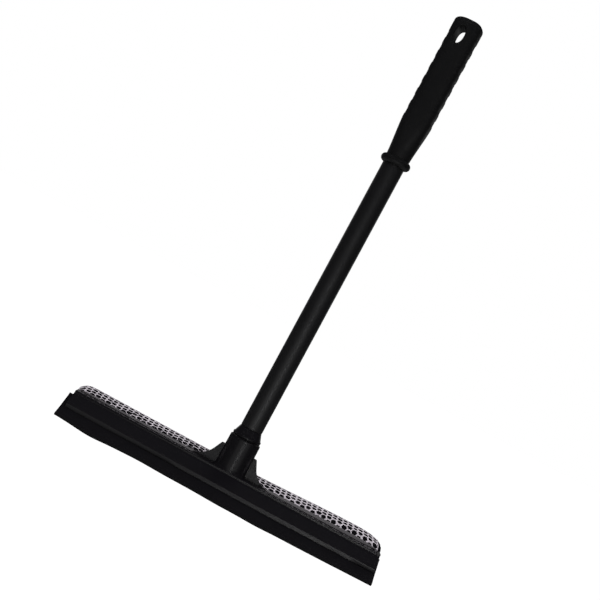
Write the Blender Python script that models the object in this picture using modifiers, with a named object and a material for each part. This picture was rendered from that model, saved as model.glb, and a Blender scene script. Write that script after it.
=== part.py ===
"""Hand squeegee with a netted sponge: a moulded head on a screwed handle, hanging from the hole in its grip.

The handle's axis is Z, and the origin lies on it, level with the top of the hang hole. The head runs along X,
its rubber blade points forward and down, to -Y, and its sponge bulges behind, to +Y.
"""
import math

import bmesh
import bpy
import numpy as np
from mathutils import Matrix, Vector
from mathutils.geometry import delaunay_2d_cdt

# Fits
GAP = 0.0003
THREAD_CLEARANCE = 0.0004

# Grip: widths are across the fingers' crests, heights are along the handle
GRIP_WIDTH = 0.0314
GRIP_THICKNESS = 0.0290
GRIP_CORNER_POWER = 3.2
GRIP_TURN = math.radians(-12)
CROWN_RISE = 0.0110
CROWN_HEIGHT = 0.0076
CROWN_POWER = 2.2
GROOVE_DEPTH = 0.0005
GROOVE_PITCH = 0.01455
GROOVE_COUNT = 7
FIRST_GROOVE = 0.0134
TAPER_START = 0.1148
TAPER_LENGTH = 0.0337
NECK_DIAMETER = 0.0252
RING_DIAMETER = 0.0327
RING_SECTION_RADIUS = 0.0044
HOLE_WIDTH = 0.0104
HOLE_HEIGHT = 0.0190
HOLE_POWER = 2.2
HOLE_SHIFT = -0.0024
HOLE_EDGE_RADIUS = 0.0014
BRIDGE_UNDER_HOLE = 0.0080

# Tube
TUBE_DIAMETER = 0.0235
TUBE_WALL = 0.0020
TUBE_LENGTH = 0.4350

# Screw tip, pressed into the tube's lower end
SPIGOT_LENGTH = 0.0300
SPIGOT_WALL = 0.0030
COLLAR_DIAMETER = 0.0310
CONE_HEIGHT = 0.0078
COLLAR_RIM = 0.0024
SHANK_DIAMETER = 0.0186
SHANK_LENGTH = 0.0320
SHANK_LEAD = 0.0020

# Washer under the collar
WASHER_DIAMETER = 0.0306
WASHER_THICKNESS = 0.0010

# Hub and its two gussets
HUB_DIAMETER = 0.0332
HUB_BASE_DIAMETER = 0.0342
HUB_HEIGHT = 0.0362
HUB_EDGE_RADIUS = 0.0008
HUB_FLOOR = 0.0022
HUB_ROOT = 0.0020
GUSSET_THICKNESS = 0.0030
GUSSET_HEIGHT = 0.0230
GUSSET_TOP_REACH = 0.0199
GUSSET_SLOPE = math.radians(64)
GUSSET_CORNER_RADIUS = 0.0018
GUSSET_FOOT_RADIUS = 0.0256
GUSSET_FOOT_EDGE = 0.0003

# Head section
BLADE_OVERHANG = 0.0029
DECK_FRONT = 0.0165
DECK_REAR = 0.0018
DECK_EDGE_LAND = 0.0024
DECK_EDGE_RADIUS = 0.0011
FRONT_PLATE = 0.0202
BEVEL_HEIGHT = 0.0040
JAW_LIP = 0.0006
REAR_JAW = 0.0032
WALL_THICKNESS = 0.0050
WALL_HEIGHT = 0.0290
SHELF_DEPTH = 0.0120
SHELF_THICKNESS = 0.0026
HEM_GROOVE_WIDTH = 0.0034
HEM_GROOVE_DEPTH = 0.0032
UPPER_GROOVE = 0.0088
LOWER_GROOVE = 0.0212
RIB_COUNT = 7
RIB_PITCH = 0.0480
RIB_THICKNESS = 0.0020

# Rubber blade, in a keyhole slot
BLADE_TILT = math.radians(60)
BLADE_LENGTH = 0.3556
BLADE_THICKNESS = 0.0030
BLADE_EXPOSED = 0.0176
BLADE_HELD = 0.0223
BLADE_SHIFT = -0.0013
BEAD_DIAMETER = 0.0050

# Sponge pad, as its net's outer face. It is fullest on the right, and its heights are from the deck
PAD_OVERHANG = 0.0010
PAD_FRONT_RISE = 0.0008
PAD_STEEP_RUN = 0.0085
PAD_STEEP_HEIGHT = 0.0056
PAD_CREST_RUN = 0.0250
PAD_CREST = 0.0090
PAD_BACK_HEIGHT = 0.0078
PAD_LEFT_SHARE = 0.60
PAD_FULLER_FROM = 0.0150
PAD_FULLER_TO = 0.1450
PAD_DEPTH = 0.0480
PAD_TOP_RADIUS = 0.0170
PAD_BACK_RADIUS = 0.0200
PAD_FRONT_RADIUS = 0.0032
PAD_LEFT_END = 0.55
PAD_RIGHT_END = 0.50
PAD_LEFT_ROUND = 0.0120
PAD_RIGHT_ROUND = 0.0200
PAD_CORE_Z = -0.0120
PAD_CORE_INSET = 0.0120

# Net
NET_THICKNESS = 0.0012
NET_TO_FOAM = 0.0010
NET_CELL_PITCH = 0.0255
NET_STRAND = 0.0042
NET_HEM = 0.0030
NET_SHORT_OF_FOAM = 0.0035
NET_END_TUCK = 0.0140
NET_END_GATHER = 0.45
SPLINE_SIZE = 0.0028
SPLINE_INSET = 0.0030

# Heights worked out from the sizes above, on Z
HOLE_BOTTOM = -HOLE_HEIGHT
TUBE_TOP = HOLE_BOTTOM - BRIDGE_UNDER_HOLE
TUBE_BOTTOM = TUBE_TOP - TUBE_LENGTH
COLLAR_BOTTOM = TUBE_BOTTOM - GAP - CONE_HEIGHT - COLLAR_RIM
WASHER_TOP = COLLAR_BOTTOM - GAP
HUB_RIM = WASHER_TOP - WASHER_THICKNESS - GAP
DECK_TOP = HUB_RIM - HUB_HEIGHT
BORE_RADIUS = SHANK_DIAMETER / 2 + THREAD_CLEARANCE
BORE_DEPTH = HUB_HEIGHT - HUB_FLOOR
SHANK_BOTTOM = COLLAR_BOTTOM - SHANK_LENGTH
PAD_DROP = WALL_HEIGHT - SHELF_THICKNESS - GAP
FOAM_INSET = NET_THICKNESS + NET_TO_FOAM
HEAD_LENGTH = BLADE_LENGTH - 2 * BLADE_OVERHANG
PAD_LENGTH = HEAD_LENGTH + 2 * PAD_OVERHANG

# Facets
ROUND_STEPS = 48
ARC_STEP = math.radians(20)
GRIP_POINTS = 28
HOLE_POINTS = 20
END_STEPS = np.array([0, 0.12, 0.35, 0.65, 1])
FULLER_STEPS = np.linspace(PAD_FULLER_FROM, PAD_FULLER_TO, 7)

# Turns an outline's own x, y into the head's Y, Z, and its thickness into X
ALONG_X = Matrix(((0, 0, 1, 0), (1, 0, 0, 0), (0, 1, 0, 0), (0, 0, 0, 1)))
# Turns an outline's own x, y into X, Z, and its thickness into -Y
ALONG_Y = Matrix(((1, 0, 0, 0), (0, 0, -1, 0), (0, 1, 0, 0), (0, 0, 0, 1)))


def clear_scene():
    for old in list(bpy.data.objects):
        bpy.data.objects.remove(old, do_unlink=True)


def new_collection(name, hidden=False):
    made = bpy.data.collections.new(name)
    bpy.context.scene.collection.children.link(made)
    made.hide_render = hidden
    return made


def material(name, colour, roughness, metallic=0.0):
    made = bpy.data.materials.new(name)
    made.use_nodes = True
    shader = made.node_tree.nodes["Principled BSDF"]
    shader.inputs["Base Color"].default_value = (*colour, 1.0)
    shader.inputs["Roughness"].default_value = roughness
    shader.inputs["Metallic"].default_value = metallic
    return made


def smooth(mesh, sharp_degrees=35):
    mesh.shade_smooth()
    mesh.set_sharp_from_angle(angle=math.radians(sharp_degrees))


def add_object(name, mesh, parent, collection, finish=None):
    made = bpy.data.objects.new(name, mesh)
    made.parent = parent
    collection.objects.link(made)
    if finish is not None:
        mesh.materials.append(finish)
    if collection.hide_render:
        made.hide_render = True
        made.display_type = "WIRE"
    return made


def join_or_cut(target, tool, operation):
    step = target.modifiers.new(operation.lower() + "_" + tool.name, "BOOLEAN")
    step.operation = operation
    step.solver = "EXACT"
    step.object = tool


def rounded(corners, step=ARC_STEP):
    """Points of a closed outline. A corner is (x, y, fillet radius), and each fillet is an arc tangent to both sides."""
    points = []
    count = len(corners)
    for i, (x, y, radius) in enumerate(corners):
        here = Vector((x, y))
        if radius == 0:
            points.append(here)
            continue
        before = (Vector(corners[i - 1][:2]) - here).normalized()
        after = (Vector(corners[(i + 1) % count][:2]) - here).normalized()
        half = before.angle(after) / 2
        start = here + before * (radius / math.tan(half))
        end = here + after * (radius / math.tan(half))
        centre = here + (before + after).normalized() * (radius / math.sin(half))
        swing = math.pi - 2 * half
        pieces = max(1, math.ceil(swing / step))
        first = start - centre
        turn = math.copysign(swing / pieces, first.cross(end - centre))
        for k in range(pieces + 1):
            points.append(centre + Matrix.Rotation(turn * k, 2) @ first)
    return points


def outline_mesh(name, points, thickness, placing):
    """A flat outline given its thickness, half to each side, then placed by a matrix and welded."""
    curve = bpy.data.curves.new(name, "CURVE")
    curve.dimensions = "2D"
    curve.fill_mode = "BOTH"
    curve.extrude = thickness / 2
    line = curve.splines.new("POLY")
    line.points.add(len(points) - 1)
    for point, place in zip(line.points, points):
        point.co = (place[0], place[1], 0, 1)
    line.use_cyclic_u = True
    guide = bpy.data.objects.new(name, curve)
    bpy.context.scene.collection.objects.link(guide)
    graph = bpy.context.evaluated_depsgraph_get()
    mesh = bpy.data.meshes.new_from_object(guide.evaluated_get(graph))
    bpy.data.objects.remove(guide, do_unlink=True)
    shape = bmesh.new()
    shape.from_mesh(mesh)
    bmesh.ops.transform(shape, matrix=placing, verts=shape.verts)
    bmesh.ops.remove_doubles(shape, verts=shape.verts, dist=0.00001)
    bmesh.ops.recalc_face_normals(shape, faces=shape.faces)
    shape.to_mesh(mesh)
    shape.free()
    return mesh


def turned(name, profile, parent, collection, finish=None, closed=False):
    """A profile of (radius, height) points, run down its outer side, turned about Z by a Screw modifier."""
    mesh = bpy.data.meshes.new(name)
    edges = [(i, i + 1) for i in range(len(profile) - 1)]
    if closed:
        edges.append((len(profile) - 1, 0))
    mesh.from_pydata([(r, 0, z) for r, z in profile], edges, [])
    made = add_object(name, mesh, parent, collection, finish)
    screw = made.modifiers.new("turn", "SCREW")
    screw.steps = ROUND_STEPS
    screw.render_steps = ROUND_STEPS
    screw.use_merge_vertices = True
    screw.merge_threshold = 0.00001
    screw.use_smooth_shade = True
    return made


def quarter_round(side, top, radius, pieces=3):
    """Points of a convex edge of a turned piece, from its flat top out and down to its side."""
    return [
        (side - radius + radius * math.sin(a), top - radius + radius * math.cos(a))
        for a in (math.pi / 2 * k / pieces for k in range(pieces + 1))
    ]


def lofted(name, rings):
    """A skin over rings of equal point counts, each an (n, 3) array, closed by a flat cap at either end."""
    count = len(rings[0])
    points = np.concatenate(rings)
    faces = []
    for i in range(len(rings) - 1):
        for k in range(count):
            j = (k + 1) % count
            faces.append((i * count + k, i * count + j, (i + 1) * count + j, (i + 1) * count + k))
    faces.append(tuple(range(count)))
    faces.append(tuple(range((len(rings) - 1) * count, len(rings) * count)))
    mesh = bpy.data.meshes.new(name)
    mesh.from_pydata(points.tolist(), [], faces)
    shape = bmesh.new()
    shape.from_mesh(mesh)
    bmesh.ops.recalc_face_normals(shape, faces=shape.faces)
    shape.to_mesh(mesh)
    shape.free()
    return mesh


def superellipse(half_a, half_b, power, count):
    """The closed curve (a |cos|^(2/n), b |sin|^(2/n)), which is an ellipse at n = 2 and squarer above it."""
    angle = np.linspace(0, 2 * np.pi, count, endpoint=False)
    c, s = np.cos(angle), np.sin(angle)
    return (
        half_a * np.sign(c) * np.abs(c) ** (2 / power),
        half_b * np.sign(s) * np.abs(s) ** (2 / power),
    )


def grip_levels():
    """(height, half width, half thickness, corner power) of each ring of the grip, from its crown down to its ring."""
    half_w, half_t = GRIP_WIDTH / 2, GRIP_THICKNESS / 2
    levels = []
    for a in np.radians([14, 30, 46, 62, 76, 90]):
        level = math.sin(a) ** (2 / CROWN_POWER)
        drop = CROWN_HEIGHT * (1 - math.cos(a) ** (2 / CROWN_POWER)) if a < 1.57 else CROWN_HEIGHT
        inset = half_w * (1 - level)
        levels.append((CROWN_RISE - drop, half_w - inset, half_t - min(inset, half_t * 0.8), GRIP_CORNER_POWER))
    for groove in range(GROOVE_COUNT):
        middle = -FIRST_GROOVE - groove * GROOVE_PITCH
        for place, depth in ((-0.30, 0.35), (-0.20, 1), (0.20, 1), (0.30, 0.35), (0.5, 0)):
            levels.append(
                (middle - place * GROOVE_PITCH, half_w - GROOVE_DEPTH * depth, half_t, GRIP_CORNER_POWER)
            )
    neck = NECK_DIAMETER / 2
    for part in (0, 0.35, 0.7, 1):
        levels.append(
            (
                -TAPER_START - part * TAPER_LENGTH,
                half_w - GROOVE_DEPTH + (neck - half_w + GROOVE_DEPTH) * part,
                half_t + (neck - half_t) * part,
                GRIP_CORNER_POWER + (2 - GRIP_CORNER_POWER) * min(1, part * 1.4),
            )
        )
    ring_middle = RING_DIAMETER / 2 - RING_SECTION_RADIUS
    meet = math.asin((neck - ring_middle) / RING_SECTION_RADIUS)
    ring_z = -TAPER_START - TAPER_LENGTH - RING_SECTION_RADIUS * math.cos(meet)
    for a in np.linspace(meet, math.pi, 9)[1:]:
        radius = ring_middle + RING_SECTION_RADIUS * math.sin(a)
        levels.append((ring_z + RING_SECTION_RADIUS * math.cos(a), radius, radius, 2))
    return levels


def grip(parent, parts, cutters, finish):
    """The moulded grip: a flat-faced oval with finger grooves in its edges, tapering to a round neck and a ring."""
    rings = []
    for z, half_w, half_t, power in grip_levels():
        x, y = superellipse(half_w, half_t, power, GRIP_POINTS)
        rings.append(np.stack([x, y, np.full_like(x, z)], axis=1))
    mesh = lofted("hand_grip", rings)
    smooth(mesh)
    made = add_object("hand_grip", mesh, parent, parts, finish)
    made.rotation_euler.z = GRIP_TURN

    lowest = grip_levels()[-1][0]
    socket = turned(
        "grip_socket_cut",
        [(0, TUBE_TOP + GAP), (TUBE_DIAMETER / 2 + GAP, TUBE_TOP + GAP)]
        + [(TUBE_DIAMETER / 2 + GAP, lowest - 0.01), (0, lowest - 0.01)],
        parent,
        cutters,
    )
    join_or_cut(made, socket, "DIFFERENCE")

    half_t = GRIP_THICKNESS / 2
    flares = [(half_t + 0.003, HOLE_EDGE_RADIUS * 1.6)]
    for a in np.radians([0, 30, 60, 90]):
        inward = HOLE_EDGE_RADIUS * math.sin(a)
        flares.append((half_t - inward, HOLE_EDGE_RADIUS * (1 - math.cos(math.pi / 2 - a)) if a < 1.57 else 0))
    flares = flares + [(-y, wide) for y, wide in reversed(flares)]
    rings = []
    for y, wide in flares:
        x, z = superellipse(HOLE_WIDTH / 2 + wide, HOLE_HEIGHT / 2 + wide, HOLE_POWER, HOLE_POINTS)
        rings.append(np.stack([x + HOLE_SHIFT, np.full_like(x, y), z - HOLE_HEIGHT / 2], axis=1))
    hole = add_object("hang_hole_cut", lofted("hang_hole_cut", rings), parent, cutters)
    hole.rotation_euler.z = GRIP_TURN
    join_or_cut(made, hole, "DIFFERENCE")


def handle_tube(parent, parts, finish):
    outer = TUBE_DIAMETER / 2
    inner = outer - TUBE_WALL
    profile = [(outer, TUBE_TOP), (outer, TUBE_BOTTOM), (inner, TUBE_BOTTOM), (inner, TUBE_TOP)]
    turned("handle_tube", profile, parent, parts, finish, closed=True)


def screw_tip(parent, parts, finish):
    """The tip: a hollow spigot in the tube, a coned collar below it and the shank that screws into the hub."""
    spigot = TUBE_DIAMETER / 2 - TUBE_WALL - GAP
    core = spigot - SPIGOT_WALL
    top = TUBE_BOTTOM + SPIGOT_LENGTH
    shoulder = TUBE_BOTTOM - GAP
    collar = COLLAR_DIAMETER / 2
    shank = SHANK_DIAMETER / 2
    edge = COLLAR_RIM / 3
    profile = [
        (0, shoulder),
        (core, shoulder),
        (core, top),
        (spigot, top),
        (spigot, shoulder),
        (TUBE_DIAMETER / 2, shoulder),
        (collar - edge / 2, shoulder - CONE_HEIGHT),
        (collar, shoulder - CONE_HEIGHT - edge),
        (collar, COLLAR_BOTTOM + edge),
        (collar - edge, COLLAR_BOTTOM),
        (shank, COLLAR_BOTTOM),
        (shank, SHANK_BOTTOM + SHANK_LEAD),
        (shank - SHANK_LEAD, SHANK_BOTTOM),
        (0, SHANK_BOTTOM),
    ]
    turned("screw_tip", profile, parent, parts, finish)


def washer(parent, parts, finish):
    outer = WASHER_DIAMETER / 2
    inner = SHANK_DIAMETER / 2 + GAP
    bottom = WASHER_TOP - WASHER_THICKNESS
    profile = [(outer, WASHER_TOP), (outer, bottom), (inner, bottom), (inner, WASHER_TOP)]
    turned("collar_washer", profile, parent, parts, finish, closed=True)


def blade_frame():
    """The directions along the blade and across it, and the point of the front jaw's lower lip, on Y and Z."""
    along = Vector((-math.sin(BLADE_TILT), -math.cos(BLADE_TILT)))
    across = Vector((math.cos(BLADE_TILT), -math.sin(BLADE_TILT)))
    land = Vector((-DECK_FRONT, -DECK_EDGE_LAND))
    bevel_top = land + along * FRONT_PLATE
    lip = bevel_top + Vector((0, -BEVEL_HEIGHT))
    return along, across, land, bevel_top, lip


def keyhole(half_slot, bead_radius, bead_centre, mouth_centre, along, across):
    """Points up one side of a strip, round its bead and down the other side, from the mouth and back to it."""
    neck = math.asin(half_slot / bead_radius)
    points = [mouth_centre - across * half_slot]
    for a in np.linspace(neck, 2 * math.pi - neck, 13):
        points.append(bead_centre + along * (bead_radius * math.cos(a)) - across * (bead_radius * math.sin(a)))
    points.append(mouth_centre + across * half_slot)
    return points


def head_section():
    """The closed section of the head: deck, inclined blade holder with its keyhole, rear wall, grooves and shelf."""
    along, across, land, bevel_top, lip = blade_frame()
    mouth_front = lip + across * JAW_LIP
    middle = mouth_front + across * (GAP + BLADE_THICKNESS / 2)
    bead = middle - along * BLADE_HELD
    slot = keyhole(
        BLADE_THICKNESS / 2 + GAP, BEAD_DIAMETER / 2 + GAP, bead, middle, along, across
    )
    jaw_end = middle + across * (BLADE_THICKNESS / 2 + GAP + REAR_JAW)
    wall_front = DECK_REAR - WALL_THICKNESS
    rise = (wall_front - jaw_end.x) / -along.x
    crotch = jaw_end - along * rise
    back = DECK_REAR
    groove = back - HEM_GROOVE_DEPTH
    half = HEM_GROOVE_WIDTH / 2
    corners = [
        (-DECK_FRONT, 0, DECK_EDGE_RADIUS),
        (land.x, land.y, 0.0006),
        (bevel_top.x, bevel_top.y, 0.0008),
        (lip.x, lip.y, 0),
    ]
    corners += [(p.x, p.y, 0) for p in slot]
    corners += [
        (jaw_end.x, jaw_end.y, 0.0008),
        (crotch.x, crotch.y, 0.0015),
        (wall_front, -WALL_HEIGHT, 0.0006),
        (back + SHELF_DEPTH, -WALL_HEIGHT, 0.0006),
        (back + SHELF_DEPTH, -WALL_HEIGHT + SHELF_THICKNESS, 0.0006),
        (back, -WALL_HEIGHT + SHELF_THICKNESS, 0.0010),
        (back, -LOWER_GROOVE - half, 0),
        (groove, -LOWER_GROOVE - half, 0),
        (groove, -LOWER_GROOVE + half, 0),
        (back, -LOWER_GROOVE + half, 0),
        (back, -UPPER_GROOVE - half, 0),
        (groove, -UPPER_GROOVE - half, 0),
        (groove, -UPPER_GROOVE + half, 0),
        (back, -UPPER_GROOVE + half, 0),
        (back, 0, 0.0006),
    ]
    return rounded(corners), jaw_end, crotch, along


def head_frame(parent, parts, cutters, finish):
    """The one-piece head: its long section, the hub with its bore, two gussets and the ribs under the deck."""
    section, jaw_end, crotch, along = head_section()
    mesh = outline_mesh("head_frame", section, HEAD_LENGTH, ALONG_X)
    made = add_object("head_frame", mesh, parent, parts, finish)

    ribs = bpy.data.meshes.new("rib_join")
    wall_front = DECK_REAR - WALL_THICKNESS
    bite = 0.0010
    low = jaw_end - along * 0.0030
    rib = [
        low + Vector((-bite, bite)),
        crotch + Vector((0, bite)),
        Vector((wall_front + bite, crotch.y + bite)),
        Vector((wall_front + bite, -WALL_HEIGHT + 0.0040)),
        low,
    ]
    one = outline_mesh("rib_join", rib, RIB_THICKNESS, ALONG_X)
    shape = bmesh.new()
    for k in range(RIB_COUNT):
        before = len(shape.verts)
        shape.from_mesh(one)
        shape.verts.ensure_lookup_table()
        offset = Vector(((k - (RIB_COUNT - 1) / 2) * RIB_PITCH, 0, 0))
        bmesh.ops.translate(shape, verts=shape.verts[before:], vec=offset)
    shape.to_mesh(ribs)
    shape.free()
    join_or_cut(made, add_object("rib_join", ribs, parent, cutters), "UNION")

    foot = GUSSET_TOP_REACH + (GUSSET_HEIGHT - GUSSET_FOOT_EDGE) / math.tan(GUSSET_SLOPE)
    tail = foot + GUSSET_FOOT_RADIUS * math.tan(GUSSET_SLOPE / 2) + 0.0001
    side = [
        (GUSSET_TOP_REACH, GUSSET_HEIGHT, GUSSET_CORNER_RADIUS),
        (foot, GUSSET_FOOT_EDGE, GUSSET_FOOT_RADIUS),
        (tail, GUSSET_FOOT_EDGE, 0),
        (tail, -HUB_ROOT, 0),
    ]
    web = rounded(side + [(-x, z, r) for x, z, r in reversed(side)], math.radians(8))
    gussets = outline_mesh("gusset_join", web, GUSSET_THICKNESS, ALONG_Y)
    join_or_cut(made, add_object("gusset_join", gussets, parent, cutters), "UNION")

    hub_profile = [(0, HUB_HEIGHT)]
    hub_profile += quarter_round(HUB_DIAMETER / 2, HUB_HEIGHT, HUB_EDGE_RADIUS)
    hub_profile += [(HUB_BASE_DIAMETER / 2, 0), (HUB_BASE_DIAMETER / 2, -HUB_ROOT), (0, -HUB_ROOT)]
    hub = turned("hub_join", hub_profile, parent, cutters)
    join_or_cut(made, hub, "UNION")
    bore_profile = [
        (0, HUB_HEIGHT + 0.003),
        (BORE_RADIUS, HUB_HEIGHT + 0.003),
        (BORE_RADIUS, HUB_HEIGHT - BORE_DEPTH),
        (0, HUB_HEIGHT - BORE_DEPTH),
    ]
    join_or_cut(made, turned("bore_cut", bore_profile, parent, cutters), "DIFFERENCE")


def rubber_blade(parent, parts, finish):
    """A strip with a bead along its held edge, drawn in the same keyhole frame as the slot."""
    along, across, _, _, lip = blade_frame()
    middle = lip + across * (JAW_LIP + GAP + BLADE_THICKNESS / 2)
    bead = middle - along * BLADE_HELD
    edge = middle + along * BLADE_EXPOSED
    outline = keyhole(BLADE_THICKNESS / 2, BEAD_DIAMETER / 2, bead, edge, along, across)
    mesh = outline_mesh("rubber_blade", outline, BLADE_LENGTH, ALONG_X)
    made = add_object("rubber_blade", mesh, parent, parts, finish)
    made.location.x = BLADE_SHIFT


def pad_section():
    """The pad's closed outer outline on Y and Z, from the middle of its front up, over, behind and back below."""
    front = DECK_REAR + GAP
    back = front + PAD_DEPTH
    middle = (PAD_FRONT_RISE - PAD_DROP) / 2
    corners = [
        (front, middle, 0),
        (front, PAD_FRONT_RISE, PAD_FRONT_RADIUS),
        (front + PAD_STEEP_RUN, PAD_STEEP_HEIGHT, PAD_TOP_RADIUS),
        (front + PAD_CREST_RUN, PAD_CREST, PAD_TOP_RADIUS),
        (back, PAD_BACK_HEIGHT, PAD_TOP_RADIUS),
        (back + 0.002, (PAD_BACK_HEIGHT - PAD_DROP) / 2 - 0.002, PAD_BACK_RADIUS),
        (back - 0.004, -PAD_DROP, PAD_BACK_RADIUS * 0.6),
        (front, -PAD_DROP, PAD_FRONT_RADIUS),
    ]
    points = np.array([tuple(p) for p in rounded(corners, math.radians(15))])
    return np.vstack([points, points[:1]])


class Pad:
    """The pad's surface as a function of x along the head and s round the section from the middle of its front."""

    def __init__(self):
        self.points = pad_section()
        steps = np.linalg.norm(np.diff(self.points, axis=0), axis=1)
        self.s = np.concatenate([[0], np.cumsum(steps)])
        self.girth = self.s[-1]

    def outline(self, x, s):
        """Place on the section at x, whose part above the deck is lower on the left, by a smooth step."""
        s = np.mod(s, self.girth)
        y, z = (np.interp(s, self.s, self.points[:, k]) for k in (0, 1))
        step = np.clip((x - PAD_FULLER_FROM) / (PAD_FULLER_TO - PAD_FULLER_FROM), 0, 1)
        share = PAD_LEFT_SHARE + (1 - PAD_LEFT_SHARE) * step * step * (3 - 2 * step)
        return np.stack([y, np.where(z > 0, z * share, z)], axis=-1)

    def section(self, x, s, inset):
        """Place on the outline, moved in by the inset towards the nearest point of a level line inside the pad."""
        here = self.outline(x, s)
        front = DECK_REAR + GAP
        nearest = np.clip(here[..., 0], front + PAD_CORE_INSET, front + PAD_DEPTH - PAD_CORE_INSET)
        inward = np.stack([nearest, np.full_like(nearest, PAD_CORE_Z)], axis=-1) - here
        return here + inward * (inset / np.linalg.norm(inward, axis=-1, keepdims=True))

    def swell(self, x, inset):
        """Size of the section at x: 1 along the pad, drawn in on a quarter ellipse over each end's rounding."""
        right_end = PAD_LENGTH / 2 + FOAM_INSET - inset
        left = np.clip((x + PAD_LENGTH / 2 - inset) / PAD_LEFT_ROUND, 0, 1)
        right = np.clip((right_end - x) / PAD_RIGHT_ROUND, 0, 1)
        return np.minimum(
            PAD_LEFT_END + (1 - PAD_LEFT_END) * np.sqrt(1 - (1 - left) ** 2),
            PAD_RIGHT_END + (1 - PAD_RIGHT_END) * np.sqrt(1 - (1 - right) ** 2),
        )

    def place(self, x, s, inset):
        """Points in the head's frame. Past the left end, the surface turns in across the end of the foam."""
        x = np.asarray(x, float)
        end = -PAD_LENGTH / 2 + inset
        past = np.clip(end - x, 0, None)
        across = np.maximum(x, end)
        size = self.swell(across, inset) * (1 - past / NET_END_TUCK * NET_END_GATHER)
        core = np.array([DECK_REAR + GAP + inset, PAD_CORE_Z])
        flat = core + (self.section(across, s, inset) - core) * size[..., None]
        return np.concatenate([across[..., None], flat], axis=-1)


def sponge_foam(pad, parent, parts, cutters, finish):
    """The foam block inside the net, notched behind the hub."""
    left = -PAD_LENGTH / 2 + FOAM_INSET
    right = PAD_LENGTH / 2 - np.append(END_STEPS * PAD_RIGHT_ROUND, NET_SHORT_OF_FOAM)
    stations = np.concatenate([left + END_STEPS * PAD_LEFT_ROUND, FULLER_STEPS, np.sort(right)])
    s = pad.s[:-1]
    rings = [pad.place(np.full_like(s, x), s, FOAM_INSET) for x in stations]
    mesh = lofted("sponge_foam", rings)
    smooth(mesh)
    made = add_object("sponge_foam", mesh, parent, parts, finish)
    radius = HUB_BASE_DIAMETER / 2 + GAP
    floor = -HUB_ROOT - GAP
    profile = [(0, HUB_HEIGHT), (radius, HUB_HEIGHT), (radius, floor), (0, floor)]
    join_or_cut(made, turned("hub_notch_cut", profile, parent, cutters), "DIFFERENCE")


def net_border(pad, left, right, start, stop):
    """The net's flat outline on x and s, with the notch round the hub in its upper hem."""
    radius = HUB_BASE_DIAMETER / 2 + 2 * GAP
    s = np.linspace(start, pad.girth / 2, 400)
    y = pad.section(0, s, 0)[:, 0]
    turns = np.linspace(math.asin(y[0] / radius), math.pi / 2, 11)
    past_front = s[np.nonzero(y > y[0] + 1e-5)[0][0]]
    climbing = (s >= past_front) & (y <= radius + 0.001)
    notch_s = np.interp(radius * np.sin(turns), y[climbing], s[climbing])
    notch = [(radius * math.cos(turns[0]), start)] + list(zip(radius * np.cos(turns), notch_s))
    mirrored = [(-x, at) for x, at in notch[-2::-1]]
    upper = [(x, start) for x in np.linspace(right, notch[0][0], 14)]
    upper += notch[1:] + mirrored[:-1]
    upper += [(x, start) for x in np.linspace(-notch[0][0], left, 14)]
    sides = pad.s[(pad.s > start + 0.001) & (pad.s < stop - 0.001)]
    lower = [(x, stop) for x in np.linspace(left, right, 30)]
    return upper + [(left, s) for s in sides] + lower + [(right, s) for s in sides[::-1]], notch_s[-1]


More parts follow.
